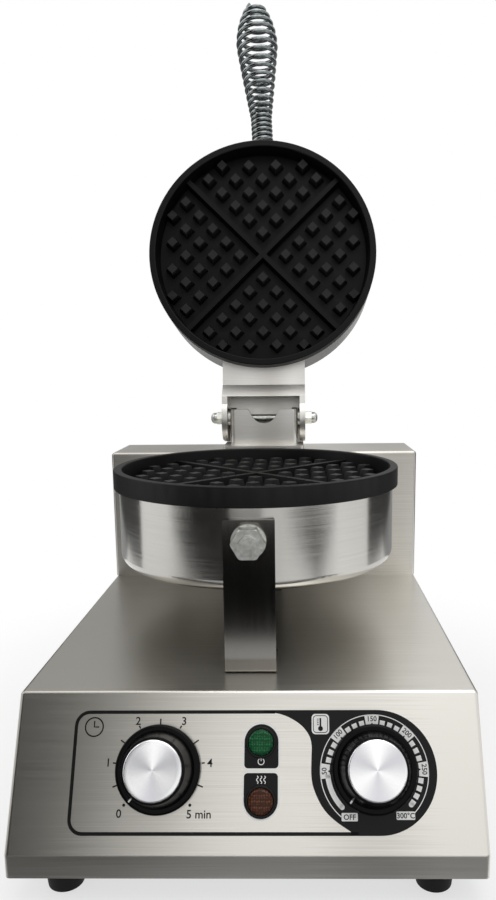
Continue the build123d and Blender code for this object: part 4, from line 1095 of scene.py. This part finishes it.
@dataclass
class Studio:
    """Camera, floor, world, lamps and the cards that bright metal shows."""

    board: Panel
    # The camera's place from the middle of the panel's top edge, in millimetres.
    place_mm: Triple = (27.2, -387.6, 177.8)
    pitch: float = 8.84
    yaw: float = -0.86
    roll: float = -0.51
    lens_mm: float = 30.16
    shift: Point = (-0.0418, 0.0308)
    sky: str = "#F4F5F7"
    sky_strength: float = 0.5
    floor_m: float = 30.0
    # The floor is this much of a white glow in the middle, and all glow from the far radius on.
    near_glow: float = 0.62
    glow_radii: Point = (0.16, 0.42)
    # How much of that glow a reflection of the floor has.
    mirror_glow: float = 0.9
    aim: Triple = (0.0, 0.0, 0.2)
    # Each lamp's name, place, side and watts.
    lamps: tuple[tuple[str, Triple, float, float], ...] = (
        ("key_box", (0.5, -0.9, 2.2), 1.6, 13.0),
        ("fill_box", (-2.0, 0.2, 1.3), 1.6, 8.0),
        ("top_box", (0.0, 0.4, 2.1), 1.8, 12.0),
    )
    # Each card's name, low and high corners and shade. The front and floor cards darken the pot,
    # the strip and the left of the panel, the side cards the ends, the back cards the lid's shell.
    cards: tuple[tuple[str, Triple, Triple, str], ...] = (
        ("front_card_left", (-1.95, -1.15, 0.0), (-0.35, -1.15, 1.60), "#0A0A0A"),
        ("floor_card_left", (-1.10, -1.10, 0.003), (0.10, -0.44, 0.003), "#0A0A0A"),
        ("floor_card_right", (0.44, -1.10, 0.003), (1.00, -0.44, 0.003), "#1A1A1A"),
        ("near_card", (-0.40, -0.34, 0.002), (0.40, -0.20, 0.002), "#6C6C6C"),
        ("side_card_left", (-0.60, 0.05, 0.0), (-0.60, 0.9, 0.45), "#404040"),
        ("side_card_right", (0.60, 0.05, 0.0), (0.60, 0.9, 0.45), "#404040"),
        ("floor_card_back", (-1.20, 0.35, 0.003), (1.20, 2.40, 0.003), "#9A9A9A"),
        ("back_card_left", (-3.0, 2.6, 0.0), (0.0, 2.6, 2.4), "#B4B4B4"),
        ("back_card_right", (0.0, 2.6, 0.0), (3.0, 2.6, 2.4), "#D0D0D0"),
    )

    def camera(self) -> None:
        """Set the photograph's viewpoint."""
        pitch, yaw, roll = radians(self.pitch), radians(self.yaw), radians(self.roll)
        ahead = Vector((sin(yaw) * cos(pitch), cos(yaw) * cos(pitch), -sin(pitch)))
        right = Vector((cos(yaw), -sin(yaw), 0.0))
        up = right.cross(ahead)
        level_right = right * cos(roll) + up * sin(roll)
        level_up = up * cos(roll) - right * sin(roll)
        made = bpy.data.objects.new("camera", bpy.data.cameras.new("camera"))
        bpy.context.scene.collection.objects.link(made)
        axes = Matrix((level_right, level_up, -ahead)).transposed().to_4x4()
        place = self.board.origin + Vector(self.place_mm) * MM
        made.matrix_world = Matrix.Translation(place) @ axes
        made.data.lens = self.lens_mm
        made.data.shift_x, made.data.shift_y = self.shift
        made.data.clip_start = 0.01
        bpy.context.scene.camera = made

    def world(self) -> None:
        """Make white where the camera, a gloss or clear plastic looks, and soft grey elsewhere."""
        made = bpy.data.worlds.new("studio")
        bpy.context.scene.world = made
        made.use_nodes = True
        tree = made.node_tree
        tree.nodes.clear()
        path = add_node(tree, "LightPath").outputs
        looks = {0: path["Is Camera Ray"], 1: path["Is Transmission Ray"]}
        seen = add_node(tree, "Math", looks, operation="MAXIMUM").outputs[0]
        looks = {0: path["Is Glossy Ray"], 1: seen}
        seen = add_node(tree, "Math", looks, operation="MAXIMUM").outputs[0]
        white, soft = (
            add_node(tree, "Background", {"Color": linear(shade), "Strength": strength})
            for shade, strength in (("#FFFFFF", 1.0), (self.sky, self.sky_strength))
        )
        both = {0: seen, 1: soft.outputs[0], 2: white.outputs[0]}
        mix = add_node(tree, "MixShader", both)
        add_node(tree, "OutputWorld", {"Surface": mix.outputs[0]})

    def floor(self) -> None:
        """Lay a wide pale floor: white to the eye, with the soft shadow near the feet kept."""
        size = self.floor_m
        corners = [(-size, -size, 0), (size, -size, 0), (size, size, 0), (-size, size, 0)]
        made = mesh_piece("floor", corners, [(0, 1, 2, 3)], Finish("pale_floor", "#F4F4F4", 0.9))
        tree = made.data.materials[0].node_tree
        shader = tree.nodes["Principled BSDF"]
        spot = add_node(tree, "TexCoord").outputs["Object"]
        away = add_node(tree, "VectorMath", {0: spot}, operation="LENGTH")
        near, far = self.glow_radii
        white = add_node(
            tree,
            "MapRange",
            {"Value": away.outputs["Value"], "From Min": near, "From Max": far,
             "To Min": self.near_glow, "To Max": 1.0},
            interpolation_type="SMOOTHSTEP",
        ).outputs[0]
        path = add_node(tree, "LightPath").outputs
        looks = {0: path["Is Camera Ray"], 1: white, 2: path["Is Transmission Ray"]}
        seen = add_node(tree, "Math", looks, operation="MULTIPLY_ADD").outputs[0]
        looks = {0: path["Is Glossy Ray"], 1: self.mirror_glow, 2: seen}
        share = add_node(tree, "Math", looks, operation="MULTIPLY_ADD").outputs[0]
        glow = add_node(tree, "Emission", {"Color": linear("#FFFFFF"), "Strength": 1.0})
        both = {0: share, 1: shader.outputs[0], 2: glow.outputs[0]}
        mix = add_node(tree, "MixShader", both)
        tree.links.new(mix.outputs[0], tree.nodes["Material Output"].inputs["Surface"])

    def stand_cards(self) -> None:
        """Set cards that only reflections see, so that bright metal has dark to show."""
        for name, low, high, shade in self.cards:
            across, along = [axis for axis in range(3) if low[axis] != high[axis]]
            corners = []
            for one, other in ((low, low), (high, low), (high, high), (low, high)):
                corner = list(low)
                corner[across], corner[along] = one[across], other[along]
                corners.append(corner)
            paint = Finish(f"{name}_paint", "#000000", 1.0, specular=0.0)
            made = mesh_piece(name, corners, [(0, 1, 2, 3)], paint)
            shader = made.data.materials[0].node_tree.nodes["Principled BSDF"]
            shader.inputs["Emission Color"].default_value = linear(shade)
            shader.inputs["Emission Strength"].default_value = 1.0
            made.visible_camera = False
            made.visible_shadow = False
            made.visible_diffuse = False
            made.visible_transmission = False

    def hang_lamps(self) -> None:
        """Hang square soft boxes that look at the middle of the object."""
        for name, place, side, watts in self.lamps:
            light = bpy.data.lights.new(name, "AREA")
            light.shape = "RECTANGLE"
            light.size = light.size_y = side
            light.energy = watts
            made = bpy.data.objects.new(name, light)
            bpy.context.scene.collection.objects.link(made)
            made.location = place
            ahead = Vector(self.aim) - Vector(place)
            made.rotation_euler = ahead.to_track_quat("-Z", "Y").to_euler()
            LOG.info("%s hangs at %s", name, place)

    def build(self) -> None:
        """Set up the whole studio."""
        self.camera()
        self.world()
        self.floor()
        self.hang_lamps()
        self.stand_cards()
        bpy.context.scene.view_settings.view_transform = "Standard"


def main() -> None:
    """Build the scene in order."""
    logging.basicConfig(level=logging.INFO)
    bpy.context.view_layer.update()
    joints = {joint["name"]: joint for joint in frame["joints"]}
    board = Panel.from_dial(joints["timer_turn"], TIMER_AT)
    Studio(board).build()
    Solids().build()
    PanelPrint(board).build()
    Dial(board, "timer", "timer_dial", TIMER_AT, -TimerScale.sweep).build()
    Dial(board, "thermostat", "thermostat_dial", HEAT_AT, -HeatScale.sweep).build()


if __name__ == "__main__":
    main()
